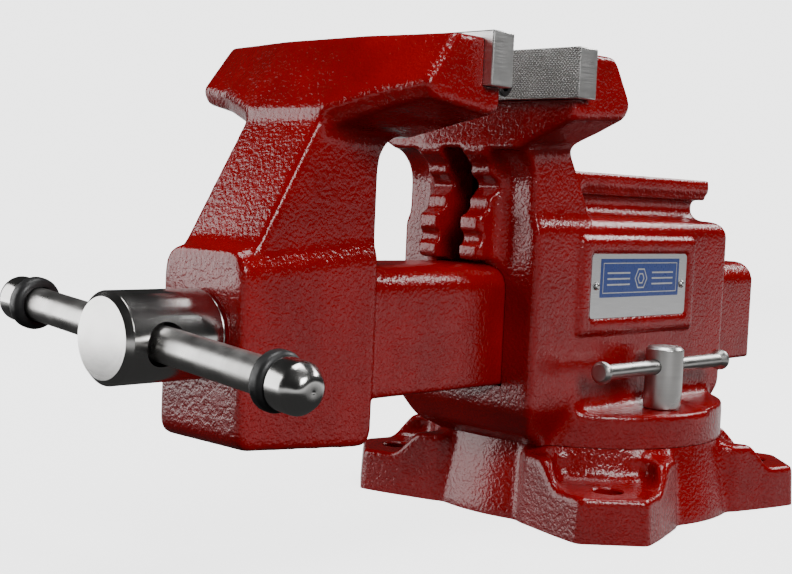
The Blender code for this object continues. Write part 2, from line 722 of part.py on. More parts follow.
def make_spindle():
    """The screw, its cross-drilled head, the washer and collar either side of the boss, and the pins."""
    screw_profile = [
        (0, SCREW_REAR),
        (SCREW_RADIUS - 2 * MM, SCREW_REAR),
        (SCREW_RADIUS, SCREW_REAR - 2 * MM),
        (SCREW_RADIUS, SCREW_FRONT),
        (0, SCREW_FRONT),
    ]
    screw = turned("spindle_screw", screw_profile, SPINDLE_PLACE)
    head_profile = [
        (0, HEAD_REAR),
        (HEAD_RADIUS - 1 * MM, HEAD_REAR),
        (HEAD_RADIUS, HEAD_REAR - 1 * MM),
        (HEAD_RADIUS, HEAD_FRONT + 2.5 * MM),
        (HEAD_RADIUS - 2.5 * MM, HEAD_FRONT),
        (0, HEAD_FRONT),
    ]
    head = turned("spindle_head", head_profile, SPINDLE_PLACE, False, 48)
    washer_profile = [
        (WASHER_RADIUS, HEAD_REAR + WASHER_THICK),
        (WASHER_RADIUS, HEAD_REAR + FIT),
        (SCREW_RADIUS + FIT, HEAD_REAR + FIT),
        (SCREW_RADIUS + FIT, HEAD_REAR + WASHER_THICK),
    ]
    washer = turned("thrust_washer", washer_profile, SPINDLE_PLACE, True, 32)
    collar_front = CAVITY_FRONT + FIT
    collar_rear = collar_front + COLLAR_LENGTH
    collar_profile = [
        (COLLAR_RADIUS, collar_rear),
        (COLLAR_RADIUS, collar_front),
        (SCREW_RADIUS + FIT, collar_front),
        (SCREW_RADIUS + FIT, collar_rear),
    ]
    collar = turned("retaining_collar", collar_profile, SPINDLE_PLACE, True, 32)
    pieces = []
    for name, along, radius, half, host in (
        ("head_pin", HEAD_PIN_Y, 2.5 * MM, HEAD_RADIUS - 1.5 * MM, head),
        ("collar_pin", (collar_front + collar_rear) / 2, 2.2 * MM, COLLAR_RADIUS - 1 * MM, collar),
    ):
        place = Matrix.Translation((0, along, AXIS_Z))
        pin = bevel(cylinder(name, radius, -half, half, place, None, 16), 0.5 * MM, 1)
        for number, holder in enumerate((host, screw)):
            cut(holder, cylinder(f"{name}_hole_{number}", radius + FIT, -30 * MM, 30 * MM, place, None, 16))
        pieces.append(keep(pin, DARK_STEEL))
    cut(
        head,
        cylinder("head_bore", SCREW_RADIUS + FIT, SCREW_FRONT - FIT, HEAD_REAR + PAST, SPINDLE_PLACE),
        cylinder("cross_hole", BAR_RADIUS + 0.5 * MM, -40 * MM, 40 * MM, CROSS_HOLE_PLACE, None, 32),
    )
    pieces += [keep(screw, STEEL), keep(head, STEEL), keep(washer, STEEL), keep(collar, STEEL)]
    return pieces


def make_handle():
    """The sliding bar, with a rubber ring and a domed knob pressed on each end."""
    bar = bevel(cylinder("handle_bar", BAR_RADIUS, -BAR_HALF, BAR_HALF, HANDLE_PLACE, None, 32), 0.8 * MM, 1)
    pieces = [keep(bar, STEEL)]
    bore = BAR_RADIUS + FIT
    for side, word in ((1, "right"), (-1, "left")):
        place = HANDLE_PLACE if side == 1 else HANDLE_PLACE @ Matrix.Rotation(math.pi, 4, "X")
        dome_start = HANDLE_HALF - 5 * MM
        dome = [
            (KNOB_RADIUS * math.sin(math.radians(angle)), dome_start + 5 * MM * math.cos(math.radians(angle)))
            for angle in (0, 22, 45, 68, 90)
        ]
        knob_profile = dome + [
            (KNOB_RADIUS, RING_TO + FIT + 1 * MM),
            (KNOB_RADIUS - 1 * MM, RING_TO + FIT),
            (bore, RING_TO + FIT),
            (bore, BAR_HALF + FIT),
            (0, BAR_HALF + FIT),
        ]
        knob_profile[0] = (0, HANDLE_HALF)
        pieces.append(keep(turned(f"handle_knob_{word}", knob_profile, place, False, 32), STEEL))
        middle = (RING_FROM + RING_TO) / 2
        round_out = arc((RING_RADIUS - 4 * MM, middle), 4 * MM, 70, -70, 4)
        ring_profile = round_out + [(bore, RING_FROM), (bore, RING_TO)]
        pieces.append(keep(turned(f"handle_ring_{word}", ring_profile, place, True, 24), RUBBER))
    return pieces


def make_lock(side, word):
    """A lockdown bolt with its sliding bar, and the nut that it draws up in the base's T-slot."""
    place = Matrix.Translation((side * LOCK_X, LOCK_Y, 0))
    post_low = LEDGE + FIT
    profile = [
        (0, POST_TOP),
        (POST_RADIUS - 1.2 * MM, POST_TOP),
        (POST_RADIUS, POST_TOP - 1.2 * MM),
        (POST_RADIUS, post_low + 0.8 * MM),
        (POST_RADIUS - 0.8 * MM, post_low),
        (LOCK_SHANK, post_low),
        (LOCK_SHANK, SLOT_FLOOR + 2 * MM),
        (0, SLOT_FLOOR + 2 * MM),
    ]
    bolt = turned(f"lock_bolt_{word}", profile, place, False, 32)
    bar_place = Matrix.Translation((side * LOCK_X, LOCK_Y, LOCK_BAR_Z)) @ ALONG_Y
    hole_name = f"lock_cross_hole_{word}"
    cut(bolt, cylinder(hole_name, LOCK_BAR_RADIUS + FIT, -30 * MM, 30 * MM, bar_place, None, 20))
    upper_half = [
        (0, LOCK_BAR_HALF),
        (LOCK_CAP_RADIUS - 1 * MM, LOCK_BAR_HALF),
        (LOCK_CAP_RADIUS, LOCK_BAR_HALF - 1 * MM),
        (LOCK_CAP_RADIUS, LOCK_BAR_HALF - 3.5 * MM),
        (LOCK_BAR_RADIUS, LOCK_BAR_HALF - 6.5 * MM),
    ]
    bar_profile = upper_half + [(radius, -along) for radius, along in reversed(upper_half)]
    bar = turned(f"lock_bar_{word}", bar_profile, bar_place, False, 20)
    facing = Matrix.Rotation(math.atan2(LOCK_Y, side * LOCK_X), 4, "Z")
    low = (LOCK_RADIUS - T_NUT_HALF, -T_NUT_HALF, SLOT_FLOOR + 2.5 * MM)
    high = (LOCK_RADIUS + T_NUT_HALF, T_NUT_HALF, SLOT_LIP - 0.6 * MM)
    nut = bevel(box(f"t_nut_{word}", low, high, facing), 1 * MM, 1)
    cut(nut, cylinder(f"t_nut_bore_{word}", LOCK_SHANK + FIT, 0, 60 * MM, place, None, SMALL_SEGMENTS))
    return keep(bolt, STEEL), keep(bar, STEEL), keep(nut, DARK_STEEL)


def make_vise():
    make_swivel_base()
    make_pivot()
    turning = make_vise_body() + make_name_plate() + make_spindle_nut()
    turning.append(make_insert("rear_jaw_insert", STATIC_FACE, 1))
    turning += make_insert_screws("rear_insert", STATIC_FACE, 1)
    locks = [make_lock(1, "right"), make_lock(-1, "left")]
    turning += [nut for _, _, nut in locks]
    swivel = carry("body_swivel_axis", (0, 0, SWIVEL_PLANE), turning)
    for (bolt, bar, _), side, word in zip(locks, (1, -1), ("right", "left")):
        axis = carry(f"lock_bolt_axis_{word}", (side * LOCK_X, LOCK_Y, LEDGE), [bolt, bar])
        axis.parent = swivel
        axis.matrix_parent_inverse = Matrix.Translation(-swivel.location)
    sliding = make_front_jaw() + [make_insert("front_jaw_insert", MOVING_FACE, -1)]
    sliding += make_insert_screws("front_insert", MOVING_FACE, -1)
    slide = carry("jaw_slide_axis", (0, THROAT_Y, AXIS_Z), sliding)
    spindle = carry("spindle_axis", (0, HANDLE_Y, AXIS_Z), make_spindle() + make_handle())
    for child, parent in ((spindle, slide), (slide, swivel)):
        child.parent = parent
        child.matrix_parent_inverse = Matrix.Translation(-parent.location)


for leftover in list(bpy.data.objects):
    bpy.data.objects.remove(leftover, do_unlink=True)

VISE = new_collection("bench_vise")
CUTTERS = new_collection("cutters")
PAINT = new_material("red_casting_paint", (0.26, 0.006, 0.01), 0.28, 0)
STEEL = new_material("bright_steel", (0.62, 0.62, 0.61), 0.28, 1)
DARK_STEEL = new_material("black_oxide_steel", (0.05, 0.05, 0.052), 0.4, 1)
IRON = new_material("grey_iron", (0.16, 0.16, 0.165), 0.55, 1)
RUBBER = new_material("black_rubber", (0.012, 0.012, 0.012), 0.5, 0)
PLATE_METAL = new_material("plate_aluminium", (0.75, 0.76, 0.77), 0.35, 1)

make_vise()
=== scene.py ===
"""Looks of the bench vise: cast, painted bodies, serrated jaw faces, turned steel and rubber.

Shapes are worked out in millimetres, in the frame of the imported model: origin at the swivel
axis on the bench plane, +Z up, +Y from the handle to the rear, +X towards the name plate.
"""

import math

import bmesh
import bpy
from mathutils import Matrix, Vector


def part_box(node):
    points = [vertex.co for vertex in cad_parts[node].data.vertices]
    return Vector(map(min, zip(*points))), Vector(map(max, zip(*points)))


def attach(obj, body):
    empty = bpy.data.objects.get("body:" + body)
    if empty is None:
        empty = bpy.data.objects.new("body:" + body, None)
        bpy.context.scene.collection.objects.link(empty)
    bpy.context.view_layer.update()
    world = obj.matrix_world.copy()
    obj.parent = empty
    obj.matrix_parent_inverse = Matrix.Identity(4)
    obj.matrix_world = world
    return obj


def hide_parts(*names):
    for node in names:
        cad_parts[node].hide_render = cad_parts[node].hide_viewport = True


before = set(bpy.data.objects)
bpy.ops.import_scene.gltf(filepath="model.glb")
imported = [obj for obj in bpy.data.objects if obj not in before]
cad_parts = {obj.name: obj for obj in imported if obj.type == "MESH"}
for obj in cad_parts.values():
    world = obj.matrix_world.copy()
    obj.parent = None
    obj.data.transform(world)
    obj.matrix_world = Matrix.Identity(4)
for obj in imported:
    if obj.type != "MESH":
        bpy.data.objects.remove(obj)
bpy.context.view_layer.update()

MM = 0.001
UNDER = 4.0  # how far a rough casting stands past a face that is machined off
FILLET_VOXEL = 1.5  # the grid a casting's fillets are made on
VOXEL = 1.15  # the grid its finished skin is made on
SWEEP = math.radians(12)  # the most that one step of a rounded corner turns

# Holes
BOLT_CLEARANCE = 6.3
INSERT_TAP = 3.4

# Swivel base
BASE_TOP = 41.0
BASE_TOP_RADIUS = 84.0
BASE_FOOT_RADIUS = 92.0
LUG_ANGLES = (45, 135, 225, 315)
LUG_TOP = 23.3
BOLT_CIRCLE = 107.0
BOLT_HOLE = 8.0

# Lockdown bolts, their loose bars and the circle of their T-slot
LOCK_X = 64.0
LOCK_Y = -9.0
LOCK_RADIUS = math.hypot(LOCK_X, LOCK_Y)
LOCK_POST = 10.5
LOCK_SHANK = 6.0
LOCK_BAR = 4.0
LOCK_BAR_Z = 83.3
LOCK_BAR_HALF = 63.0
LOCK_CAP = 6.0

# Swivelling body
SWIVEL_PLANE = 41.3
FLANGE_RADIUS = 84.0
FLANGE_CHAMFER = 0.8
LEDGE = 59.4
BODY_HALF = 47.0
ARM_HALF = 44.0
BODY_TOP = 164.3
ANVIL_TOP = 189.0
RIB_FRONT = -124.5
RIB_LOW = 139.6

# Jaws and slide
JAW_HALF = 77.3
JAW_SEAT = 221.4
SCREW_X = 36.6
SCREW_Z = 228.2
SLIDE_HALF = 27.0
SLIDE_LOW = 74.8
SLIDE_TOP = 138.0
SLIDE_REAR = 154.3
SLIDE_PLAY = 0.6
SLIDE_CORNER = 13.0
BOSS_HALF = 28.5
FRONT_ARM_HALF = 26.0

# Spindle and handle
AXIS_Z = 107.2
SCREW_RADIUS = 11.0
SCREW_FRONT = -306.0
SCREW_REAR = 95.0
THREAD_LEAD = 5.0
THREAD_DEPTH = 2.1
HEAD_PIN_Y = -297.0
HANDLE_Y = -318.0
HANDLE_TILT = 4.9
HANDLE_SHIFT = 3.0
BAR_RADIUS = 7.75
BAR_HALF = 97.0
HANDLE_HALF = 106.0
KNOB_RADIUS = 10.6
SNUG = 0.3  # what pieces that touch are kept apart by
RING_RADIUS = 12.2
RING_FROM = 81.4
RING_TO = 89.4

PLANES = {
    "X": Matrix(((0, 0, 1, 0), (1, 0, 0, 0), (0, 1, 0, 0), (0, 0, 0, 1))),
    "Y": Matrix(((1, 0, 0, 0), (0, 0, 1, 0), (0, 1, 0, 0), (0, 0, 0, 1))),
    "Z": Matrix.Identity(4),
}
ALONG_X = Matrix.Rotation(math.radians(90), 4, "Y")
ALONG_Y = Matrix.Rotation(math.radians(-90), 4, "X")
CROSS_HOLE = (
    Matrix.Translation((0, HANDLE_Y, AXIS_Z))
    @ Matrix.Rotation(math.radians(HANDLE_TILT), 4, "Y")
    @ ALONG_X
)
HANDLE = CROSS_HOLE @ Matrix.Translation((0, 0, HANDLE_SHIFT))


# ---------------------------------------------------------------- shapes


def shift(x=0.0, y=0.0, z=0.0):
    return Matrix.Translation((x, y, z))


def turn(degrees, axis="Z"):
    return Matrix.Rotation(math.radians(degrees), 4, axis)


def settled(bm, place=None):
    """The same shape put in its place, with its faces pointing out."""
    if place is not None:
        bm.transform(place)
    bmesh.ops.recalc_face_normals(bm, faces=bm.faces)
    if bm.calc_volume(signed=True) < 0:
        bmesh.ops.reverse_faces(bm, faces=bm.faces)
    return bm


def rounded(corners, closed=True):
    """An outline from (across, up, radius) corners, each rounded to its radius."""
    points = []
    last = len(corners) - 1
    for index, (across, up, radius) in enumerate(corners):
        here = Vector((across, up))
        if not radius or (not closed and index in (0, last)):
            points.append((across, up))
            continue
        before = (Vector(corners[index - 1][:2]) - here).normalized()
        after = (Vector(corners[(index + 1) % len(corners)][:2]) - here).normalized()
        half = before.angle(after) / 2
        centre = here + (before + after).normalized() * radius / math.sin(half)
        start = here + before * radius / math.tan(half) - centre
        end = here + after * radius / math.tan(half) - centre
        first = math.atan2(start.y, start.x)
        sweep = math.remainder(math.atan2(end.y, end.x) - first, math.tau)
        steps = max(2, round(abs(sweep) / SWEEP))
        for step in range(steps + 1):
            angle = first + sweep * step / steps
            points.append((centre.x + radius * math.cos(angle), centre.y + radius * math.sin(angle)))
    return points


def prism(outline, axis, low, high, place=None):
    """A flat outline extruded along X (outline in Y, Z), Y (in X, Z) or Z (in X, Y)."""
    bm = bmesh.new()
    face = bm.faces.new([bm.verts.new((across, up, low)) for across, up in outline])
    grown = bmesh.ops.extrude_face_region(bm, geom=[face])["geom"]
    far = [item for item in grown if isinstance(item, bmesh.types.BMVert)]
    bmesh.ops.translate(bm, verts=far, vec=(0, 0, high - low))
    bm.transform(PLANES[axis])
    return settled(bm, place)


def box(low, high, place=None, edge=0.0, segments=3):
    bm = bmesh.new()
    size = Vector(high) - Vector(low)
    middle = (Vector(high) + Vector(low)) / 2
    stretch = Matrix.Translation(middle) @ Matrix.Diagonal((*size, 1))
    bmesh.ops.create_cube(bm, size=1, matrix=stretch)
    if edge:
        bmesh.ops.bevel(bm, geom=bm.edges, offset=edge, segments=segments, profile=0.5, affect="EDGES")
    return settled(bm, place)


def lathe(profile, place=None, segments=64):
    """A profile of (radius, height) points turned about Z; its ends are on the axis, or join."""
    bm = bmesh.new()
    rings = []
    for radius, height in profile:
        if radius < 1e-6:
            rings.append([bm.verts.new((0, 0, height))] * segments)
            continue
        angles = [math.tau * step / segments for step in range(segments)]
        rings.append([bm.verts.new((radius * math.cos(a), radius * math.sin(a), height)) for a in angles])
    pairs = list(zip(rings, rings[1:]))
    if profile[0][0] > 1e-6:
        pairs.append((rings[-1], rings[0]))
    for ring, following in pairs:
        for step in range(segments):
            after = (step + 1) % segments
            corners = []
            for vert in (ring[step], ring[after], following[after], following[step]):
                if vert not in corners:
                    corners.append(vert)
            if len(corners) > 2:
                bm.faces.new(corners)
    return settled(bm, place)


def rod(radius, low, high, place=None, segments=48):
    return lathe([(0, low), (radius, low), (radius, high), (0, high)], place, segments)


def loft(sections, place=None):
    """A skin through closed rings of the same number of points, capped at both ends."""
    bm = bmesh.new()
    rings = [[bm.verts.new(point) for point in ring] for ring in sections]
    for ring, following in zip(rings, rings[1:]):
        for index in range(len(ring)):
            after = (index + 1) % len(ring)
            bm.faces.new((ring[index], ring[after], following[after], following[index]))
    bm.faces.new(rings[0])
    bm.faces.new(rings[-1])
    return settled(bm, place)


def cross_loft(sections, rounds=0.0):
    """A body along X through (half width, [(y, z), ...]) sections, the same at -X."""
    rings = []
    outwards = [(-half, points) for half, points in reversed(sections)] + list(sections)
    for across, outline in outwards:
        corners = [(along, up, rounds) for along, up in outline]
        rings.append([(across, along, up) for along, up in rounded(corners)])
    return loft(rings)


# ---------------------------------------------------------------- objects


def scratch(name, shapes):
    """One object in metres from shapes in millimetres."""
    joined = bmesh.new()
    for bm in shapes:
        part = bpy.data.meshes.new("part")
        bm.to_mesh(part)
        bm.free()
        joined.from_mesh(part)
        bpy.data.meshes.remove(part)
    joined.transform(Matrix.Scale(MM, 4))
    mesh = bpy.data.meshes.new(name)
    joined.to_mesh(mesh)
    joined.free()
    obj = bpy.data.objects.new(name, mesh)
    bpy.context.scene.collection.objects.link(obj)
    return obj


def apply(obj):
    """The object's modifiers made into its mesh."""
    graph = bpy.context.evaluated_depsgraph_get()
    mesh = bpy.data.meshes.new_from_object(obj.evaluated_get(graph))
    obj.modifiers.clear()
    before = obj.data
    obj.data = mesh
    bpy.data.meshes.remove(before)
    return obj


def combine(obj, operation, shapes):
    """Shapes added to or taken from an object, one after the other."""
    tools = []
    for number, bm in enumerate(shapes):
        tool = scratch(f"{obj.name}_{operation.lower()}_{number}", [bm])
        tool.display_type = "WIRE"
        modifier = obj.modifiers.new(operation.lower(), "BOOLEAN")
        modifier.operation = operation
        modifier.solver = "MANIFOLD"
        modifier.object = tool
        tools.append(tool)
    apply(obj)
    for tool in tools:
        mesh = tool.data
        bpy.data.objects.remove(tool)
        bpy.data.meshes.remove(mesh)
    return obj


def shape_of(obj):
    """An object taken back to a shape in millimetres."""
    bm = bmesh.new()
    bm.from_mesh(obj.data)
    bm.transform(Matrix.Scale(1 / MM, 4))
    mesh = obj.data
    bpy.data.objects.remove(obj)
    bpy.data.meshes.remove(mesh)
    return bm


def common(first, second):
    """The shape that two shapes share."""
    return shape_of(combine(scratch("common", [first]), "INTERSECT", [second]))


def without(first, others):
    """A shape less some others."""
    return shape_of(combine(scratch("without", [first]), "DIFFERENCE", others))


def remesh(obj, voxel=VOXEL):
    modifier = obj.modifiers.new("skin", "REMESH")
    modifier.mode = "VOXEL"
    modifier.voxel_size = voxel * MM


def swell(obj, distance):
    modifier = obj.modifiers.new("swell", "DISPLACE")
    modifier.strength = distance * MM
    modifier.mid_level = 0


def soften(obj, rounds):
    modifier = obj.modifiers.new("soften", "SMOOTH")
    modifier.factor = 0.5
    modifier.iterations = rounds


def pebbled(obj, size, height):
    """The lumps that the sand of the mould leaves under the paint."""
    texture = bpy.data.textures.new(obj.name + "_sand", "CLOUDS")
    texture.noise_scale = size * MM
    texture.noise_depth = 1
    modifier = obj.modifiers.new("sand", "DISPLACE")
    modifier.texture = texture
    modifier.strength = height * MM
    modifier.mid_level = 0.5


def casting(name, rough, carved, added, machined, fillet):
    """A sand casting: rough shapes with fillets between them, finer shapes cut and added, then
    a pebbled skin over all of it and the machining."""
    obj = scratch(name, rough)
    remesh(obj, FILLET_VOXEL)
    swell(obj, fillet)
    remesh(obj, FILLET_VOXEL)
    swell(obj, -fillet)
    remesh(obj, FILLET_VOXEL)
    apply(obj)
    if carved:
        combine(obj, "DIFFERENCE", carved)
    if added:
        obj = scratch(name, [shape_of(obj), *added])
    remesh(obj)
    soften(obj, 5)
    pebbled(obj, 3.2, 0.1)
    apply(obj)
    combine(obj, "DIFFERENCE", machined)
    return smooth(obj)


def smooth(obj, angle=38):
    obj.data.shade_smooth()
    obj.data.set_sharp_from_angle(angle=math.radians(angle))
    return obj


def finish(obj, material, body, nodes):
    """Gives a piece its material, and puts it on its body in place of CAD nodes."""
    obj.data.materials.clear()
    obj.data.materials.append(material)
    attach(obj, body)
    if nodes:
        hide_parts(*nodes)
    return obj


def turned_piece(name, profile, place, material, body, nodes, cuts=(), segments=96):
    """A lathe-turned piece, whose own Z is its axis."""
    obj = scratch(name, [lathe(profile, None, segments)])
    if cuts:
        combine(obj, "DIFFERENCE", cuts)
    obj.matrix_world = Matrix.Scale(MM, 4) @ place @ Matrix.Scale(1 / MM, 4)
    smooth(obj, 30)
    return finish(obj, material, body, nodes)


# ---------------------------------------------------------------- materials


def map_range(tree, source, low, high, to_low, to_high):
    node = tree.nodes.new("ShaderNodeMapRange")
    tree.links.new(source, node.inputs["Value"])
    sockets = ("From Min", "From Max", "To Min", "To Max")
    for socket, value in zip(sockets, (low, high, to_low, to_high)):
        node.inputs[socket].default_value = value
    return node.outputs["Result"]


class Surface:
    """A Principled material and a few short ways to wire its nodes."""

    def __init__(self, name, colour, roughness, metallic=0.0):
        self.material = bpy.data.materials.new(name)
        self.material.use_nodes = True
        self.tree = self.material.node_tree
        self.shader = self.tree.nodes["Principled BSDF"]
        self.set("Base Color", (*colour, 1))
        self.set("Roughness", roughness)
        self.set("Metallic", metallic)
        self.place = self.add("ShaderNodeTexCoord").outputs["Object"]

    def add(self, kind, **settings):
        node = self.tree.nodes.new(kind)
        for key, value in settings.items():
            setattr(node, key, value)
        return node

    def link(self, source, socket):
        self.tree.links.new(source, socket)

    def set(self, socket, value):
        self.shader.inputs[socket].default_value = value

    def stretched(self, scale):
        """Object coordinates stretched by a factor on each axis."""
        node = self.add("ShaderNodeMapping")
        self.link(self.place, node.inputs["Vector"])
        node.inputs["Scale"].default_value = scale
        return node.outputs["Vector"]

    def turned_place(self, around, along):
        """Coordinates that run with the radius and along Z, for marks that go round a turned piece."""
        split = self.add("ShaderNodeSeparateXYZ")
        self.link(self.place, split.inputs[0])
        flat = self.add("ShaderNodeCombineXYZ")
        self.link(split.outputs[0], flat.inputs[0])
        self.link(split.outputs[1], flat.inputs[1])
        radius = self.add("ShaderNodeVectorMath", operation="LENGTH")
        self.link(flat.outputs[0], radius.inputs[0])
        joined = self.add("ShaderNodeCombineXYZ")
        self.link(self.scaled(radius.outputs["Value"], around), joined.inputs[0])
        self.link(self.scaled(split.outputs[2], along), joined.inputs[1])
        return joined.outputs[0]

    def scaled(self, source, factor):
        node = self.add("ShaderNodeMath", operation="MULTIPLY")
        self.link(source, node.inputs[0])
        node.inputs[1].default_value = factor
        return node.outputs[0]

    def noise(self, size, detail=2.0, vector=None, rough=0.5):
        node = self.add("ShaderNodeTexNoise")
        self.link(vector or self.place, node.inputs["Vector"])
        node.inputs["Scale"].default_value = 1 / (size * MM) if vector is None else size
        node.inputs["Detail"].default_value = detail
        node.inputs["Roughness"].default_value = rough
        return node.outputs["Fac"]

    def spread(self, source, low, high, to_low=0.0, to_high=1.0):
        """A value taken from one range to another, and held at its ends."""
        return map_range(self.tree, source, low, high, to_low, to_high)

    def blend(self, factor, first, second):
        """A colour between two, each a tuple or a socket."""
        node = self.add("ShaderNodeMix", data_type="RGBA")
        self.link(factor, node.inputs["Factor"])
        for socket, value in (("A", first), ("B", second)):
            sockets = [item for item in node.inputs if item.name == socket]
            target = [item for item in sockets if item.type == "RGBA"][0]
            if isinstance(value, tuple):
                target.default_value = (*value, 1)
            else:
                self.link(value, target)
        return [item for item in node.outputs if item.type == "RGBA"][0]

    def bumps(self, layers):
        """Bump layers of (height socket, strength, depth in millimetres), each on the one before."""
        normal = None
        for height, strength, depth in layers:
            node = self.add("ShaderNodeBump")
            node.inputs["Strength"].default_value = strength
            node.inputs["Distance"].default_value = depth * MM
            self.link(height, node.inputs["Height"])
            if normal:
                self.link(normal, node.inputs["Normal"])
            normal = node.outputs["Normal"]
        self.link(normal, self.shader.inputs["Normal"])

    def colour(self, source):
        self.link(source, self.shader.inputs["Base Color"])

    def rough(self, source):
        self.link(source, self.shader.inputs["Roughness"])


def casting_paint():
    """Thick glossy enamel over the pebbled skin of a sand casting: broad plateaus between small pits."""
    paint = Surface("red_enamel", (0.2, 0.002, 0.003), 0.2)
    patches = paint.spread(paint.noise(30, 3), 0.35, 0.65)
    paint.colour(paint.blend(patches, (0.215, 0.0013, 0.0025), (0.27, 0.0018, 0.0033)))
    paint.rough(paint.spread(paint.noise(6, 2), 0.3, 0.7, 0.15, 0.23))
    plateaus = paint.spread(paint.noise(1.9, 1.5), 0.36, 0.6)
    grains = paint.spread(paint.noise(1.3, 1), 0.3, 0.62)
    paint.bumps([(paint.noise(9, 1), 0.25, 0.5), (plateaus, 0.55, 0.2), (grains, 0.35, 0.06)])
    return paint.material


def turned_steel(name, colour=(0.6, 0.59, 0.575), roughness=0.17):
    """Steel with the fine grooves of the lathe around it, and a few handling marks."""
    steel = Surface(name, colour, roughness, 1)
    grooves = steel.noise(1.0, 3, steel.turned_place(5200, 5200))
    broad = steel.noise(1.0, 2, steel.turned_place(700, 700))
    smears = steel.spread(steel.noise(14, 4), 0.35, 0.7)
    steel.rough(steel.spread(smears, 0, 1, roughness * 0.85, roughness * 1.35))
    dark, light = (tuple(part * factor for part in colour) for factor in (0.88, 1.06))
    steel.colour(steel.blend(broad, dark, light))
    steel.bumps([(grooves, 0.16, 0.03), (steel.noise(2.2, 4, None, 0.7), 0.05, 0.06)])
    return steel.material


def ground_steel():
    """Hardened jaw steel, ground on a flat grinder: long fine scratches and a dull grey."""
    steel = Surface("ground_jaw_steel", (0.58, 0.575, 0.56), 0.36, 1)
    grain = steel.noise(1.0, 4, steel.stretched((60, 60, 2600)), 0.7)
    stains = steel.spread(steel.noise(12, 5), 0.35, 0.7)
    steel.colour(steel.blend(stains, (0.64, 0.635, 0.62), (0.82, 0.81, 0.795)))
    steel.rough(steel.spread(grain, 0.3, 0.7, 0.28, 0.46))
    steel.bumps([(grain, 0.3, 0.06), (steel.noise(1.6, 3), 0.12, 0.12)])
    return steel.material


def dark_steel():
    """Black-oxide fasteners with a light oil film."""
    steel = Surface("black_oxide_steel", (0.045, 0.045, 0.048), 0.38, 1)
    steel.colour(steel.blend(steel.noise(3, 4), (0.03, 0.03, 0.033), (0.075, 0.073, 0.07)))
    steel.rough(steel.spread(steel.noise(2, 3), 0.3, 0.7, 0.3, 0.5))
    steel.bumps([(steel.noise(0.8, 3), 0.2, 0.08)])
    return steel.material


def raw_iron():
    iron = Surface("grey_iron", (0.14, 0.14, 0.145), 0.6, 1)
    iron.colour(iron.blend(iron.noise(4, 5), (0.1, 0.1, 0.1), (0.2, 0.195, 0.19)))
    iron.bumps([(iron.noise(1.1, 4), 0.5, 0.25)])
    return iron.material


def black_rubber():
    rubber = Surface("black_rubber", (0.012, 0.012, 0.012), 0.42)
    rubber.colour(rubber.blend(rubber.noise(4, 4), (0.008, 0.008, 0.008), (0.02, 0.02, 0.021)))
    rubber.rough(rubber.spread(rubber.noise(3, 3), 0.3, 0.7, 0.34, 0.55))
    rubber.bumps([(rubber.noise(0.7, 2), 0.25, 0.06)])
    return rubber.material


def plate_aluminium():
    metal = Surface("plate_aluminium", (0.8, 0.8, 0.8), 0.32, 1)
    grain = metal.noise(1.0, 3, metal.stretched((60, 60, 3000)))
    metal.colour(metal.blend(grain, (0.7, 0.7, 0.71), (0.86, 0.86, 0.86)))
    metal.rough(metal.spread(grain, 0.3, 0.7, 0.26, 0.4))
    metal.bumps([(grain, 0.15, 0.03)])
    return metal.material


def blue_enamel():
    blue = Surface("blue_print", (0.008, 0.035, 0.2), 0.3)
    blue.colour(blue.blend(blue.noise(6, 3), (0.007, 0.03, 0.18), (0.011, 0.045, 0.24)))
    blue.rough(blue.spread(blue.noise(2, 3), 0.3, 0.7, 0.24, 0.38))
    blue.bumps([(blue.noise(0.5, 2), 0.1, 0.03)])
    blue.set("Coat Weight", 0.3)
    return blue.material


PAINT = casting_paint()
BRIGHT = turned_steel("turned_steel")
SCREW_STEEL = turned_steel("screw_steel", (0.34, 0.335, 0.32), 0.3)
DRAWN_STEEL = turned_steel("drawn_bar_steel", (0.56, 0.55, 0.535), 0.32)
JAW_STEEL = ground_steel()
BLACK = dark_steel()
IRON = raw_iron()
RUBBER = black_rubber()
PLATE = plate_aluminium()
BLUE = blue_enamel()


# ---------------------------------------------------------------- swivel base


def lug_shape(angle):
    """One bolt lug: a tapered block whose sides rise to the barrel round a flat pocket."""
    foot_plan = [(128, 18.5), (114, 27.5), (86, 43), (60, 43)]
    top_plan = [(126, 16.8), (112.5, 25.2), (84, 41), (60, 41)]
    rings = []
    for height, plan in ((-UNDER, foot_plan), (40, top_plan)):
        outline = plan + [(along, -half) for along, half in reversed(plan)]
        rings.append([(along, half, height) for along, half in outline])
    side = rounded(
        [(60, -UNDER * 2, 0), (140, -UNDER * 2, 0), (140, LUG_TOP, 0), (109, LUG_TOP, 10)]
        + [(96, 37, 6), (60, 38.5, 0)]
    )
    block = loft(rings)
    profile = prism(side, "Y", -60, 60)
    lug = common(block, profile)
    lug.transform(turn(angle))
    return lug


def lug_pocket(angle):
    """What is cut from a lug over its flat pad."""
    corners = [(140, -27, 0), (140, 27, 0), (84, 27, 7), (84, -27, 7)]
    return prism(rounded(corners), "Z", LUG_TOP, 60, turn(angle))


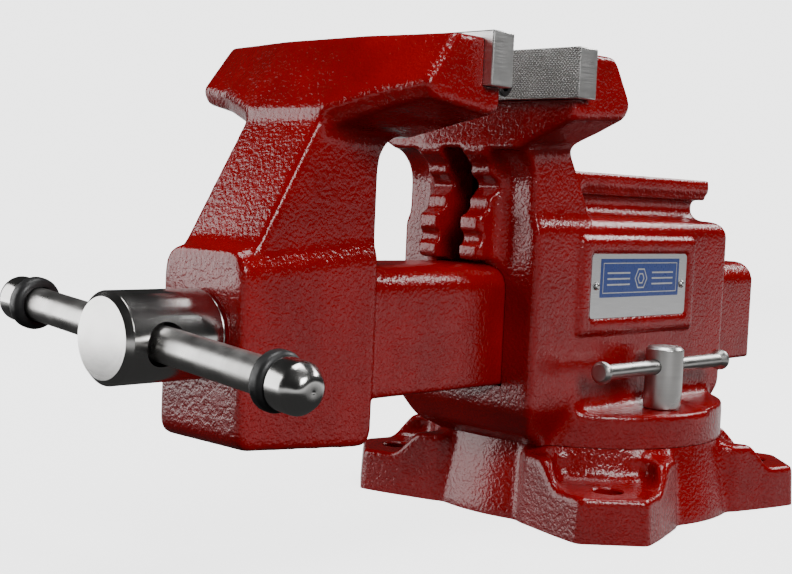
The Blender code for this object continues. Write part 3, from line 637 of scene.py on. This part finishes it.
def make_base():
    """The swivel base: a conical barrel, four bolt lugs, the T-slot and its entry from below."""
    barrel = lathe(
        [(0, -UNDER), (BASE_FOOT_RADIUS, -UNDER), (BASE_FOOT_RADIUS, 2), (BASE_TOP_RADIUS, BASE_TOP + 1)]
        + [(BASE_TOP_RADIUS, BASE_TOP + UNDER), (0, BASE_TOP + UNDER)],
        None,
        128,
    )
    rim_chamfer = [(BASE_TOP_RADIUS - 0.5, BASE_TOP + 1), (BASE_TOP_RADIUS + 6, BASE_TOP + 1)]
    rim_chamfer.append((BASE_TOP_RADIUS + 6, BASE_TOP - 1.6))
    lugs = [without(lug_shape(angle), [lug_pocket(angle)]) for angle in LUG_ANGLES]
    slot = [(-13, 15), (13, 15), (13, 29), (6.7, 29), (6.7, 50), (-6.7, 50), (-6.7, 29), (-13, 29)]
    cuts = [
        box((-200, -200, -50), (200, 200, 0)),
        box((-200, -200, BASE_TOP), (200, 200, 90)),
        lathe([(LOCK_RADIUS + across, up) for across, up in slot], None, 128),
        lathe([(80, 5), (80, -9), (40, -9), (40, 5)], None, 128),
        rod(13, -9, 20, shift(0, LOCK_RADIUS)),
        rod(BOLT_CLEARANCE, 12.7, 90),
        lathe(rim_chamfer, None, 128),
    ]
    mouth = BOLT_HOLE + 2.6
    hole = [(0, -9), (BOLT_HOLE, -9), (BOLT_HOLE, LUG_TOP - 0.9), (mouth, LUG_TOP + 1.7)]
    hole += [(mouth, 60), (0, 60)]
    for angle in LUG_ANGLES:
        cuts.append(lathe(hole, turn(angle) @ shift(BOLT_CIRCLE), 48))
    base = casting("base_casting", [barrel, *lugs], [], [], cuts, 4.0)
    finish(base, PAINT, "base", ["swivel_base"])


# ---------------------------------------------------------------- swivelling body


# The toothed front of a pipe-jaw rib: a reach behind its crest, a height, and the corner's radius.
RIB_TEETH = [
    (-9, 206, 0), (-9, 194.5, 0), (0.5, 194.5, 1.5), (4, 191.5, 1.5), (6.8, 189.5, 1.5),
    (6.8, 184.5, 1.5), (11, 181.8, 2), (13.8, 178.5, 2.5), (11, 175.2, 2), (7.2, 172.5, 1.5),
    (7, 166.5, 1.5), (3.6, 164.2, 1.2), (0, 162.5, 1.5), (0, 155.5, 1.5), (2.7, 153.3, 1.5),
    (2.7, 149.3, 1.5), (0, 147, 1.5), (0, RIB_LOW, 0), (-9, RIB_LOW, 0),
]


def tooth_gap(half, front, outward):
    """What is cut from a rib's front to leave its teeth."""
    corners = [(front + outward * reach, up, radius) for reach, up, radius in RIB_TEETH]
    return prism(rounded(corners), "X", -half, half)


def slide_section(half, low, top, corner):
    return rounded([(-half, low, 0), (-half, top, corner), (half, top, corner), (half, low, 0)])


def body_shell():
    """The box of the body: side outline crossed with front outline, so every long edge is round."""
    side = rounded(
        [(-108, 62, 7), (-101, 49, 12), (-78, 38, 0), (62, 38, 0), (78, 52, 12), (83, 66, 8)]
        + [(83, BODY_TOP, 9), (-108, BODY_TOP, 0)]
    )
    front = rounded(
        [(-BODY_HALF, BODY_TOP, 8), (BODY_HALF, BODY_TOP, 8), (BODY_HALF, 62, 14), (34, 38, 0)]
        + [(-34, 38, 0), (-BODY_HALF, 62, 14)]
    )
    return common(prism(side, "X", -60, 60), prism(front, "Y", -120, 100))


def rear_jaw_head():
    """The fixed jaw's bar, whose underside rises towards its ends."""
    end = [(-124, 211.7), (-124, 245), (-92, 245), (-88, 241.6)]
    end += [(-76.7, 225), (-75.4, 220.5), (-80.2, 215)]
    shoulder = [(-124, 205), (-124, 245), (-91, 245), (-87, 241.6)]
    shoulder += [(-76, 225), (-74.5, 219.5), (-81, 207)]
    middle = [(-124, 197), (-124, 245), (-90, 245), (-86, 241.6)]
    middle += [(-75, 225), (-73.5, 218.5), (-82, 199)]
    return cross_loft([(ARM_HALF - 2, middle), (60, shoulder), (JAW_HALF, end)])


def make_body():
    """The swivelling body: box, flange, fixed arm and jaw, anvil, plate bezel and toothed ribs."""
    arm = rounded(
        [(-108, 140, 0), (-108, 199, 20), (-124, 199, 0), (-124, 222, 0)]
        + [(-90, 222, 0), (-85.3, 209, 0), (-61, 170, 0), (-55, 140, 0)]
    )
    flange = lathe(
        [(0, SWIVEL_PLANE - UNDER), (FLANGE_RADIUS, SWIVEL_PLANE - UNDER)]
        + [(FLANGE_RADIUS, LEDGE - FLANGE_CHAMFER), (FLANGE_RADIUS - FLANGE_CHAMFER, LEDGE)]
        + [(0, LEDGE)],
        None,
        128,
    )
    rough = [
        body_shell(),
        prism(arm, "X", -ARM_HALF, ARM_HALF),
        rear_jaw_head(),
        flange,
        box((-21.8, RIB_FRONT, RIB_LOW), (21.8, -100, 206)),
        box((-30, -80, 160), (30, 66, 182)),
        box((-38, -80, ANVIL_TOP - 9), (38, 74, ANVIL_TOP + 0.5)),
    ]
    bezel = box((BODY_HALF - 4, -71, 101), (BODY_HALF + 2.4, 43.6, 154), None, 2, 2)
    pocket = box((BODY_HALF + 0.5, -62.6, 108.8), (BODY_HALF + 9, 35.2, 146.2), None, 2, 2)
    slot = rounded([(-8, 130, 0), (-8, 198, 4), (8, 198, 4), (8, 130, 0)])
    carved = [tooth_gap(27, RIB_FRONT, 1), prism(slot, "Y", -140, -92)]
    fine = [
        box((-36.4, -78, ANVIL_TOP - 12), (36.4, 72.4, ANVIL_TOP - 5), None, 0.8, 1),
        without(bezel, [pocket]),
    ]
    for side in (1, -1):
        pad = [(side * 40, 30), (side * 56.2, 22), (side * 90, 5.5), (side * 90, 60), (side * 40, 75)]
        fine.append(common(prism(pad, "Z", 50, LEDGE + 1.4), rod(FLANGE_RADIUS - 0.2, 45, 70)))
    channel = slide_section(
        SLIDE_HALF + SLIDE_PLAY, SLIDE_LOW - SLIDE_PLAY, SLIDE_TOP + SLIDE_PLAY, SLIDE_CORNER + SLIDE_PLAY
    )
    cuts = [
        box((-200, -200, 0), (200, 200, SWIVEL_PLANE)),
        box((-60, -72.5, ANVIL_TOP), (60, 90, 230)),
        box((-200, -150, JAW_SEAT), (200, -114, 300)),
        prism(channel, "Y", -150, 120),
        prism([(-97, 130), (-97, 198), (-90.5, 198.4), (-69.5, 164.7), (-69.5, 130)], "X", -32, 32),
        box((-22, -45, 130), (22, 60, 178)),
        rod(11.3, 61.4, 90),
        rod(BOLT_CLEARANCE, 30, 90),
        rod(BOLT_CLEARANCE, 30, 90, shift(0, -40)),
        rod(10.5, 30, 51, shift(0, -40)),
    ]
    for side in (1, -1):
        cuts.append(rod(BOLT_CLEARANCE, 30, 70, shift(side * LOCK_X, LOCK_Y)))
        cuts.append(rod(INSERT_TAP, -150, -99, shift(side * SCREW_X, 0, SCREW_Z) @ ALONG_Y))
    body = casting("body_casting", rough, carved, fine, cuts, 5.0)
    finish(body, PAINT, "body", ["vise_body"])


# ---------------------------------------------------------------- moving jaw


def front_jaw_head():
    """The moving jaw's bar, deepest over its arm."""
    end = [(-180, 243.3), (-211.5, 243.3), (-229.5, 220.5), (-226, 213.6), (-186.5, 209), (-180, 212)]
    shoulder = [(-180, 243.3), (-215, 243.3), (-234, 217), (-230, 209), (-186.5, 204.5), (-180, 207)]
    middle = [(-180, 243.3), (-220, 243.3), (-243, 208.5), (-238, 200), (-186.5, 198.5), (-180, 201)]
    return cross_loft([(FRONT_ARM_HALF, middle), (54, shoulder), (JAW_HALF, end)])


def make_front_jaw():
    """The moving jaw: boss, arm and jaw bar, its single rib, and the hollow slide behind."""
    ends = []
    for along, top, corner in ((-290, 145.2, 12), (-204, 149.4, 8)):
        outline = [(-BOSS_HALF, 40, 0), (BOSS_HALF, 40, 0)]
        outline += [(BOSS_HALF, top, corner), (-BOSS_HALF, top, corner)]
        ends.append([(across, along, up) for across, up in rounded(outline)])
    boss_side = rounded(
        [(-285.8, 58.6, 7), (-204, 52.4, 7), (-204, 160, 0), (-277, 160, 0), (-285.8, 143.2, 4)]
    )
    boss = common(prism(boss_side, "X", -BOSS_HALF - 1, BOSS_HALF + 1), loft(ends))
    arm = rounded(
        [(-204, 100, 0), (-204, 201, 18), (-186.5, 201, 0), (-186.5, 230, 0)]
        + [(-224, 236, 0), (-242.2, 206, 0), (-277, 146, 0), (-277, 100, 0)]
    )
    inside = slide_section(SLIDE_HALF - 9, SLIDE_LOW - 5, SLIDE_TOP - 9, 4)
    rough = [
        boss,
        prism(arm, "X", -FRONT_ARM_HALF, FRONT_ARM_HALF),
        front_jaw_head(),
        box((-6.5, -215, RIB_LOW), (6.5, -188, 203)),
    ]
    slide = slide_section(SLIDE_HALF, SLIDE_LOW, SLIDE_TOP, SLIDE_CORNER)
    fine = [prism(slide, "Y", -230, SLIDE_REAR)]
    cuts = [
        prism(inside, "Y", -272, SLIDE_REAR + 5),
        box((-200, -194, JAW_SEAT), (200, -150, 300)),
        rod(11.5, -300, -265, shift(0, 0, AXIS_Z) @ ALONG_Y),
    ]
    for side in (1, -1):
        cuts.append(rod(INSERT_TAP, -212, -170, shift(side * SCREW_X, 0, SCREW_Z) @ ALONG_Y))
    jaw = casting("front_jaw_casting", rough, [tooth_gap(12, -188, -1)], fine, cuts, 5.0)
    finish(jaw, PAINT, "front_jaw", ["front_jaw"])


# ---------------------------------------------------------------- jaw faces


TOOTH = 1.9  # pitch of the diamond teeth, across
TOOTH_DEPTH = 0.55


def serrated_slab(half, low, high, thick):
    """A slab along X whose front, at Y = 0, is a field of four-sided teeth between crossed grooves."""
    bm = bmesh.new()
    step = TOOTH / 2
    columns = 2 * math.ceil(half / step) + 2
    rows = math.ceil((high - low) / step) + 2
    grid = []
    for row in range(rows + 1):
        line = []
        for column in range(columns + 1):
            deep = TOOTH_DEPTH if (row + column) % 2 else 0
            place = ((column - columns / 2) * step, deep, low - step + row * step)
            line.append(bm.verts.new(place))
        grid.append(line)
    for row in range(rows):
        for column in range(columns):
            corners = [grid[row][column], grid[row][column + 1]]
            corners += [grid[row + 1][column + 1], grid[row + 1][column]]
            if (row + column) % 2 == 0:
                corners = corners[1:] + corners[:1]
            bm.faces.new((corners[0], corners[1], corners[2]))
            bm.faces.new((corners[0], corners[2], corners[3]))
    border = [edge for edge in bm.edges if edge.is_boundary]
    grown = bmesh.ops.extrude_edge_only(bm, edges=border)["geom"]
    back = [item for item in grown if isinstance(item, bmesh.types.BMVert)]
    for vert in back:
        vert.co.y = thick
    rim = [item for item in grown if isinstance(item, bmesh.types.BMEdge)]
    bmesh.ops.contextual_create(bm, geom=rim)
    return settled(bm)


def make_insert(name, node, body):
    """A replaceable jaw face: ground block, diamond teeth, two counterbored holes."""
    low, high = (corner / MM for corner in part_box(node))
    half = high.x
    thick = high.y - low.y
    tall = high.z - low.z
    blank = box((-half, 0, 0), (half, thick, tall), None, 0.7, 2)
    insert = combine(scratch(name, [serrated_slab(half, 0, tall, thick)]), "INTERSECT", [blank])
    counterbore = [(0, -5), (6.2, -5), (4.9, 0.9), (4.9, 7), (INSERT_TAP, 7), (INSERT_TAP, 30), (0, 30)]
    drills = []
    for side in (1, -1):
        drills.append(lathe(counterbore, shift(side * SCREW_X, 0, SCREW_Z - low.z) @ ALONG_Y, 48))
    combine(insert, "DIFFERENCE", drills)
    facing = 1 if node.startswith("rear") else -1
    start = low.y if facing == 1 else high.y
    turned_round = shift(0, start, low.z) @ (Matrix.Identity(4) if facing == 1 else turn(180))
    insert.data.transform(Matrix.Scale(MM, 4) @ turned_round @ Matrix.Scale(1 / MM, 4))
    smooth(insert, 20)
    finish(insert, JAW_STEEL, body, [node])


def hexagon(radius):
    corners = [step * math.pi / 3 for step in range(6)]
    return [(radius * math.cos(angle), radius * math.sin(angle)) for angle in corners]


def make_insert_screws(jaw, body):
    """The two socket-head screws that hold a jaw face."""
    facing = 1 if jaw == "rear" else -1
    outline = [(0, 0, 0), (4.5, 0, 0.6), (4.5, 4.6, 0.2), (3, 4.6, 0.3), (3, 22, 0.5), (0, 22, 0)]
    profile = rounded(outline, False)
    for side, word in ((1, "right"), (-1, "left")):
        node = f"{jaw}_insert_screw_{word}"
        low, high = (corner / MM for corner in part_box(node))
        start = low.y if facing == 1 else high.y
        place = shift(side * SCREW_X, start, SCREW_Z) @ (ALONG_Y if facing == 1 else turn(90, "X"))
        socket = prism(hexagon(2.6), "Z", -2, 2.6)
        name = f"{jaw}_cap_screw_{word}"
        turned_piece(name, profile, place, BLACK, body, [node], [socket], 48)


# ---------------------------------------------------------------- name plate


def make_name_plate():
    """The riveted plate: a sheet, a blue field, and raised marks that stand in for lettering."""
    low, high = (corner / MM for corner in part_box("name_plate"))
    middle = (low + high) / 2
    half = (high - low) / 2
    face = high.x
    line = 0.5
    border = 0.9

    def raised(name, outline, hole, place):
        obj = scratch(name, [prism(outline, "X", face - 0.1, face, place)])
        combine(obj, "DIFFERENCE", [prism(hole, "X", face - 1, face + 1, place)])
        finish(smooth(obj), PLATE, "body", [])

    def sheet(reach, low_z, high_z, corner, back, front):
        outline = [(-reach, low_z, corner), (-reach, high_z, corner)]
        outline += [(reach, high_z, corner), (reach, low_z, corner)]
        return prism(rounded(outline), "X", back, front, shift(0, middle.y, middle.z))

    rivets = (-half.y + 4.8, half.y - 4.8)
    bores = [rod(1.5, 40, 60, shift(0, middle.y + along, middle.z) @ ALONG_X, 32) for along in rivets]
    plate = scratch("plate_sheet", [sheet(half.y, -half.z, half.z, 2.4, low.x, face - 0.15)])
    combine(plate, "DIFFERENCE", bores)
    finish(smooth(plate), PLATE, "body", ["name_plate"])
    field = sheet(half.y - 8.2, -half.z + 11.2, half.z - 2.6, 0.4, face - 0.2, face - 0.05)
    finish(smooth(scratch("plate_blue_field", [field])), BLUE, "body", [])

    reach, low_z, high_z = half.y - 10.6, -half.z + 13.4, half.z - 4.8
    outer = [(-reach, low_z), (-reach, high_z), (reach, high_z), (reach, low_z)]
    inner = [(-reach + line, low_z + line), (-reach + line, high_z - line)]
    inner += [(reach - line, high_z - line), (reach - line, low_z + line)]
    raised("plate_border_0", outer, inner, shift(0, middle.y, middle.z))

    centre_z = middle.z + (high.z - low.z) * 0.11
    for number, radius in enumerate((6.4, 3.4)):
        outline = hexagon(radius)
        hole = [(across * (1 - border / radius), up * (1 - border / radius)) for across, up in outline]
        raised(f"plate_hexagon_{number}", outline, hole, shift(0, middle.y, centre_z))
    for number, (start, end) in enumerate(((-33, -11), (11, 33))):
        for row, up in enumerate((-3.2, 0, 3.2)):
            low_corner = (face - 0.1, middle.y + start, centre_z + up - border / 2)
            high_corner = (face, middle.y + end, centre_z + up + border / 2)
            bar = scratch(f"plate_bar_{number}_{row}", [box(low_corner, high_corner)])
            finish(smooth(bar), PLATE, "body", [])

    dome = [(0, face + 1.35, 0), (1.5, face + 1.25, 0.8), (2.3, face + 0.1, 0.1), (1.2, face + 0.1, 0)]
    dome = rounded(dome + [(1.2, 42, 0), (0, 42, 0)], False)
    for word, along in zip(("front", "rear"), rivets):
        place = shift(0, middle.y + along, middle.z) @ ALONG_X
        node = f"plate_rivet_{word}"
        turned_piece(node + "_head", dome, place, BRIGHT, "body", [node], (), 32)


# ---------------------------------------------------------------- spindle and handle


def threaded(radius, depth, low, high, columns=40, rows_per_turn=10):
    """A rod about Z with a trapezoidal thread: its radius follows the angle and the height together."""
    bm = bmesh.new()
    rings = []
    rows = round((high - low) / THREAD_LEAD * rows_per_turn)
    for row in range(rows + 1):
        height = low + (high - low) * row / rows
        ring = []
        for column in range(columns):
            turned_by = column / columns
            wave = 0.5 + 1.1 * math.cos(math.tau * (height / THREAD_LEAD - turned_by))
            groove = depth * min(1, max(0, wave))
            chamfer = max(0, 2 - (height - low), 2 - (high - height))
            across = radius - max(groove, chamfer)
            angle = math.tau * turned_by
            ring.append((across * math.cos(angle), across * math.sin(angle), height))
        rings.append(ring)
    return loft(rings)


def make_spindle():
    """The cross-drilled head, the threaded screw behind it and the thrust washer between."""
    spindle = shift(0, 0, AXIS_Z) @ ALONG_Y
    low, high = (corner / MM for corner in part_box("spindle_head"))
    radius = high.x
    profile = rounded(
        [(0, low.y, 0), (radius - 2.6, low.y, 0.3), (radius, low.y + 2.6, 0.4), (radius, high.y, 0.8)]
        + [(SCREW_RADIUS + SNUG, high.y, 0.3), (SCREW_RADIUS + SNUG, SCREW_FRONT - SNUG, 0)]
        + [(0, SCREW_FRONT - SNUG, 0)],
        False,
    )
    bore = BAR_RADIUS + 0.5
    cross = spindle.inverted() @ CROSS_HOLE
    cone = [(0, 0), (bore, 0), (BAR_RADIUS + 6.5, 30), (0, 30)]
    drills = [lathe([(0, -40), (bore, -40), (bore, 40), (0, 40)], cross, 64)]
    for mouth in (Matrix.Identity(4), turn(180, "X")):
        drills.append(lathe(cone, cross @ mouth @ shift(0, 0, 11), 64))
    drills.append(rod(2.8, 0, 30, shift(0, 0, HEAD_PIN_Y) @ turn(-90, "X")))
    turned_piece(
        "spindle_head_turned", profile, spindle,
        BRIGHT, "spindle", ["spindle_head"], drills, 160,
    )
    thread = threaded(SCREW_RADIUS, THREAD_DEPTH, SCREW_FRONT, SCREW_REAR)
    screw = scratch("spindle_screw_thread", [thread])
    screw.matrix_world = Matrix.Scale(MM, 4) @ spindle @ Matrix.Scale(1 / MM, 4)
    finish(smooth(screw, 50), SCREW_STEEL, "spindle", ["spindle_screw"])
    low, high = (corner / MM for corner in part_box("thrust_washer"))
    bore = SCREW_RADIUS + SNUG
    ring = rounded(
        [(bore, low.y, 0.2), (bore, high.y, 0.2), (high.x, high.y, 0.7), (high.x, low.y, 0.7)]
    )
    turned_piece(
        "thrust_washer_turned", ring, spindle, BRIGHT, "spindle", ["thrust_washer"]
    )


def make_handle():
    """The sliding bar, and at each end a rubber ring and a domed knob pressed on it."""
    tip = BAR_HALF
    outline = [(0, -tip, 0), (BAR_RADIUS, -tip, 0.8), (BAR_RADIUS, tip, 0.8), (0, tip, 0)]
    turned_piece(
        "handle_bar_drawn", rounded(outline, False), HANDLE,
        DRAWN_STEEL, "handle", ["handle_bar"],
    )
    bore = BAR_RADIUS + SNUG
    for word, facing in (("right", Matrix.Identity(4)), ("left", turn(180, "X"))):
        place = HANDLE @ facing
        knob = rounded(
            [(0, HANDLE_HALF - 0.35, 0), (0.9, HANDLE_HALF, 0.2), (KNOB_RADIUS - 4.6, HANDLE_HALF, 5)]
            + [(KNOB_RADIUS, HANDLE_HALF - 6.2, 5.5), (KNOB_RADIUS, RING_TO + SNUG, 0.7)]
            + [(bore, RING_TO + SNUG, 0.2), (bore, BAR_HALF + SNUG, 0), (0, BAR_HALF + SNUG, 0)],
            False,
        )
        ring = rounded(
            [(bore, RING_FROM, 0.6), (bore, RING_TO, 0.6), (RING_RADIUS, RING_TO, 2.6)]
            + [(RING_RADIUS, RING_FROM, 3.2)]
        )
        node = f"handle_knob_{word}"
        turned_piece(node + "_turned", knob, place, BRIGHT, "handle", [node])
        node = f"handle_ring_{word}"
        turned_piece(node + "_moulded", ring, place, RUBBER, "handle", [node])


# ---------------------------------------------------------------- lockdown bolts


def make_lock(side, word):
    """A cross-drilled bolt and its loose bar with swaged ends."""
    place = shift(side * LOCK_X, LOCK_Y)
    low, high = (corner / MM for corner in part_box(f"lock_bolt_{word}"))
    post = rounded(
        [(0, high.z, 0), (LOCK_POST - 1.8, high.z, 1), (LOCK_POST, high.z - 1.6, 1)]
        + [(LOCK_POST, LEDGE + SNUG, 0.8), (LOCK_SHANK, LEDGE + SNUG, 0)]
        + [(LOCK_SHANK, low.z, 0.5), (0, low.z, 0)],
        False,
    )
    hole = [rod(LOCK_BAR + SNUG, -30, 30, shift(0, 0, LOCK_BAR_Z) @ ALONG_Y, 48)]
    bolt = f"lock_bolt_{word}"
    turned_piece(bolt + "_turned", post, place, DRAWN_STEEL, bolt, [bolt], hole)
    end, cap = LOCK_BAR_HALF, LOCK_CAP
    half = [(LOCK_BAR, end - 6.8, 1.5), (cap, end - 3.4, 0.8), (cap, end - 1.2, 1)]
    half += [(cap - 1.6, end, 0.8), (0, end, 0)]
    profile = [(across, -along, edge) for across, along, edge in reversed(half)] + half
    bar = f"lock_bar_{word}"
    turned_piece(
        bar + "_turned", rounded(profile, False), place @ shift(0, 0, LOCK_BAR_Z) @ ALONG_Y,
        DRAWN_STEEL, bar, [bar],
    )


# ---------------------------------------------------------------- stage


FOCAL = 59.81
CAMERA_PLACE = (457.165, -644.881, 170.054)
CAMERA_YAW, CAMERA_PITCH, CAMERA_ROLL = 43.4446, 3.85, 2.5462
BAND = 0.9  # brightness of the room's pale band
BACKDROP = 3.4  # brightness of what lies behind the vise
FLOOR_LIGHT = 0.45  # how much of it the lights add to the floor round the vise


def make_camera():
    """The photograph's viewpoint."""
    data = bpy.data.cameras.new("camera")
    data.lens = FOCAL
    data.sensor_width = 36
    camera = bpy.data.objects.new("camera", data)
    bpy.context.scene.collection.objects.link(camera)
    camera.matrix_world = (
        Matrix.Translation([value * MM for value in CAMERA_PLACE])
        @ turn(CAMERA_YAW)
        @ turn(90 - CAMERA_PITCH, "X")
        @ turn(CAMERA_ROLL)
    )
    bpy.context.scene.camera = camera


def area_light(name, place, aim, width, height, power):
    data = bpy.data.lights.new(name, "AREA")
    data.shape = "RECTANGLE"
    data.size = width
    data.size_y = height
    data.energy = power
    light = bpy.data.objects.new(name, data)
    light.location = place
    light.rotation_euler = (Vector(aim) - Vector(place)).to_track_quat("-Z", "Y").to_euler()
    bpy.context.scene.collection.objects.link(light)


def make_world():
    """A pale backdrop for the camera; for light and gloss, a dark room with a pale band below eye level."""
    world = bpy.data.worlds.new("studio")
    bpy.context.scene.world = world
    world.use_nodes = True
    tree = world.node_tree
    room = tree.nodes["Background"]
    room.inputs["Color"].default_value = (1, 1, 1, 1)
    split = tree.nodes.new("ShaderNodeSeparateXYZ")
    tree.links.new(tree.nodes.new("ShaderNodeTexCoord").outputs["Generated"], split.inputs[0])
    height = split.outputs[2]
    both = tree.nodes.new("ShaderNodeMath")
    both.operation = "MULTIPLY"
    tree.links.new(map_range(tree, height, -0.32, -0.14, 0.05, BAND), both.inputs[0])
    tree.links.new(map_range(tree, height, -0.07, 0.01, 1, 0.03), both.inputs[1])
    tree.links.new(both.outputs[0], room.inputs["Strength"])
    backdrop = tree.nodes.new("ShaderNodeBackground")
    backdrop.inputs["Color"].default_value = (1, 1, 1, 1)
    backdrop.inputs["Strength"].default_value = BACKDROP
    rays = tree.nodes.new("ShaderNodeLightPath")
    mix = tree.nodes.new("ShaderNodeMixShader")
    tree.links.new(rays.outputs["Is Camera Ray"], mix.inputs[0])
    tree.links.new(room.outputs[0], mix.inputs[1])
    tree.links.new(backdrop.outputs[0], mix.inputs[2])
    tree.links.new(mix.outputs[0], tree.nodes["World Output"].inputs["Surface"])


def make_stage():
    """A pale floor that the vise sees as dark, and four soft boxes round it."""
    floor = scratch("floor", [box((-9000, -9000, -20), (9000, 9000, -0.05))])
    white = Surface("pale_floor", (0.55, 0.55, 0.55), 0.8)
    white.set("Specular IOR Level", 0)
    white.set("Emission Color", (1, 1, 1, 1))
    away = white.add("ShaderNodeVectorMath", operation="LENGTH")
    white.link(white.place, away.inputs[0])
    glow = white.spread(away.outputs["Value"], 0.4, 3.0, BACKDROP - FLOOR_LIGHT, BACKDROP)
    white.link(glow, white.shader.inputs["Emission Strength"])
    floor.data.materials.append(white.material)
    floor.visible_diffuse = False
    floor.visible_glossy = False
    middle = (0, -0.1, 0.13)
    area_light("left_box", (-1.35, -1.2, 0.5), middle, 1.3, 1.3, 22)
    area_light("top_box", (0.05, -0.1, 1.6), middle, 0.8, 0.8, 16)
    area_light("back_box", (0.4, 1.15, 1.0), middle, 1.0, 0.35, 12)
    area_light("right_box", (1.05, -0.5, 0.75), middle, 0.6, 0.5, 12)


def dress_frame_nodes():
    """Materials for the CAD pieces that are shown as they are."""
    for material, nodes in (
        (BLACK, ("pivot_bolt", "spindle_nut_bolt", "head_pin", "collar_pin", "t_nut_right", "t_nut_left")),
        (IRON, ("spindle_nut",)),
        (SCREW_STEEL, ("pivot_washer", "retaining_collar")),
    ):
        for name in nodes:
            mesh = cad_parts[name].data
            mesh.materials.clear()
            mesh.materials.append(material)


make_base()
make_body()
make_front_jaw()
make_insert("rear_insert_block", "rear_jaw_insert", "body")
make_insert("front_insert_block", "front_jaw_insert", "front_jaw")
make_insert_screws("rear", "body")
make_insert_screws("front", "front_jaw")
make_name_plate()
make_spindle()
make_handle()
make_lock(1, "right")
make_lock(-1, "left")
make_camera()
make_world()
make_stage()
dress_frame_nodes()
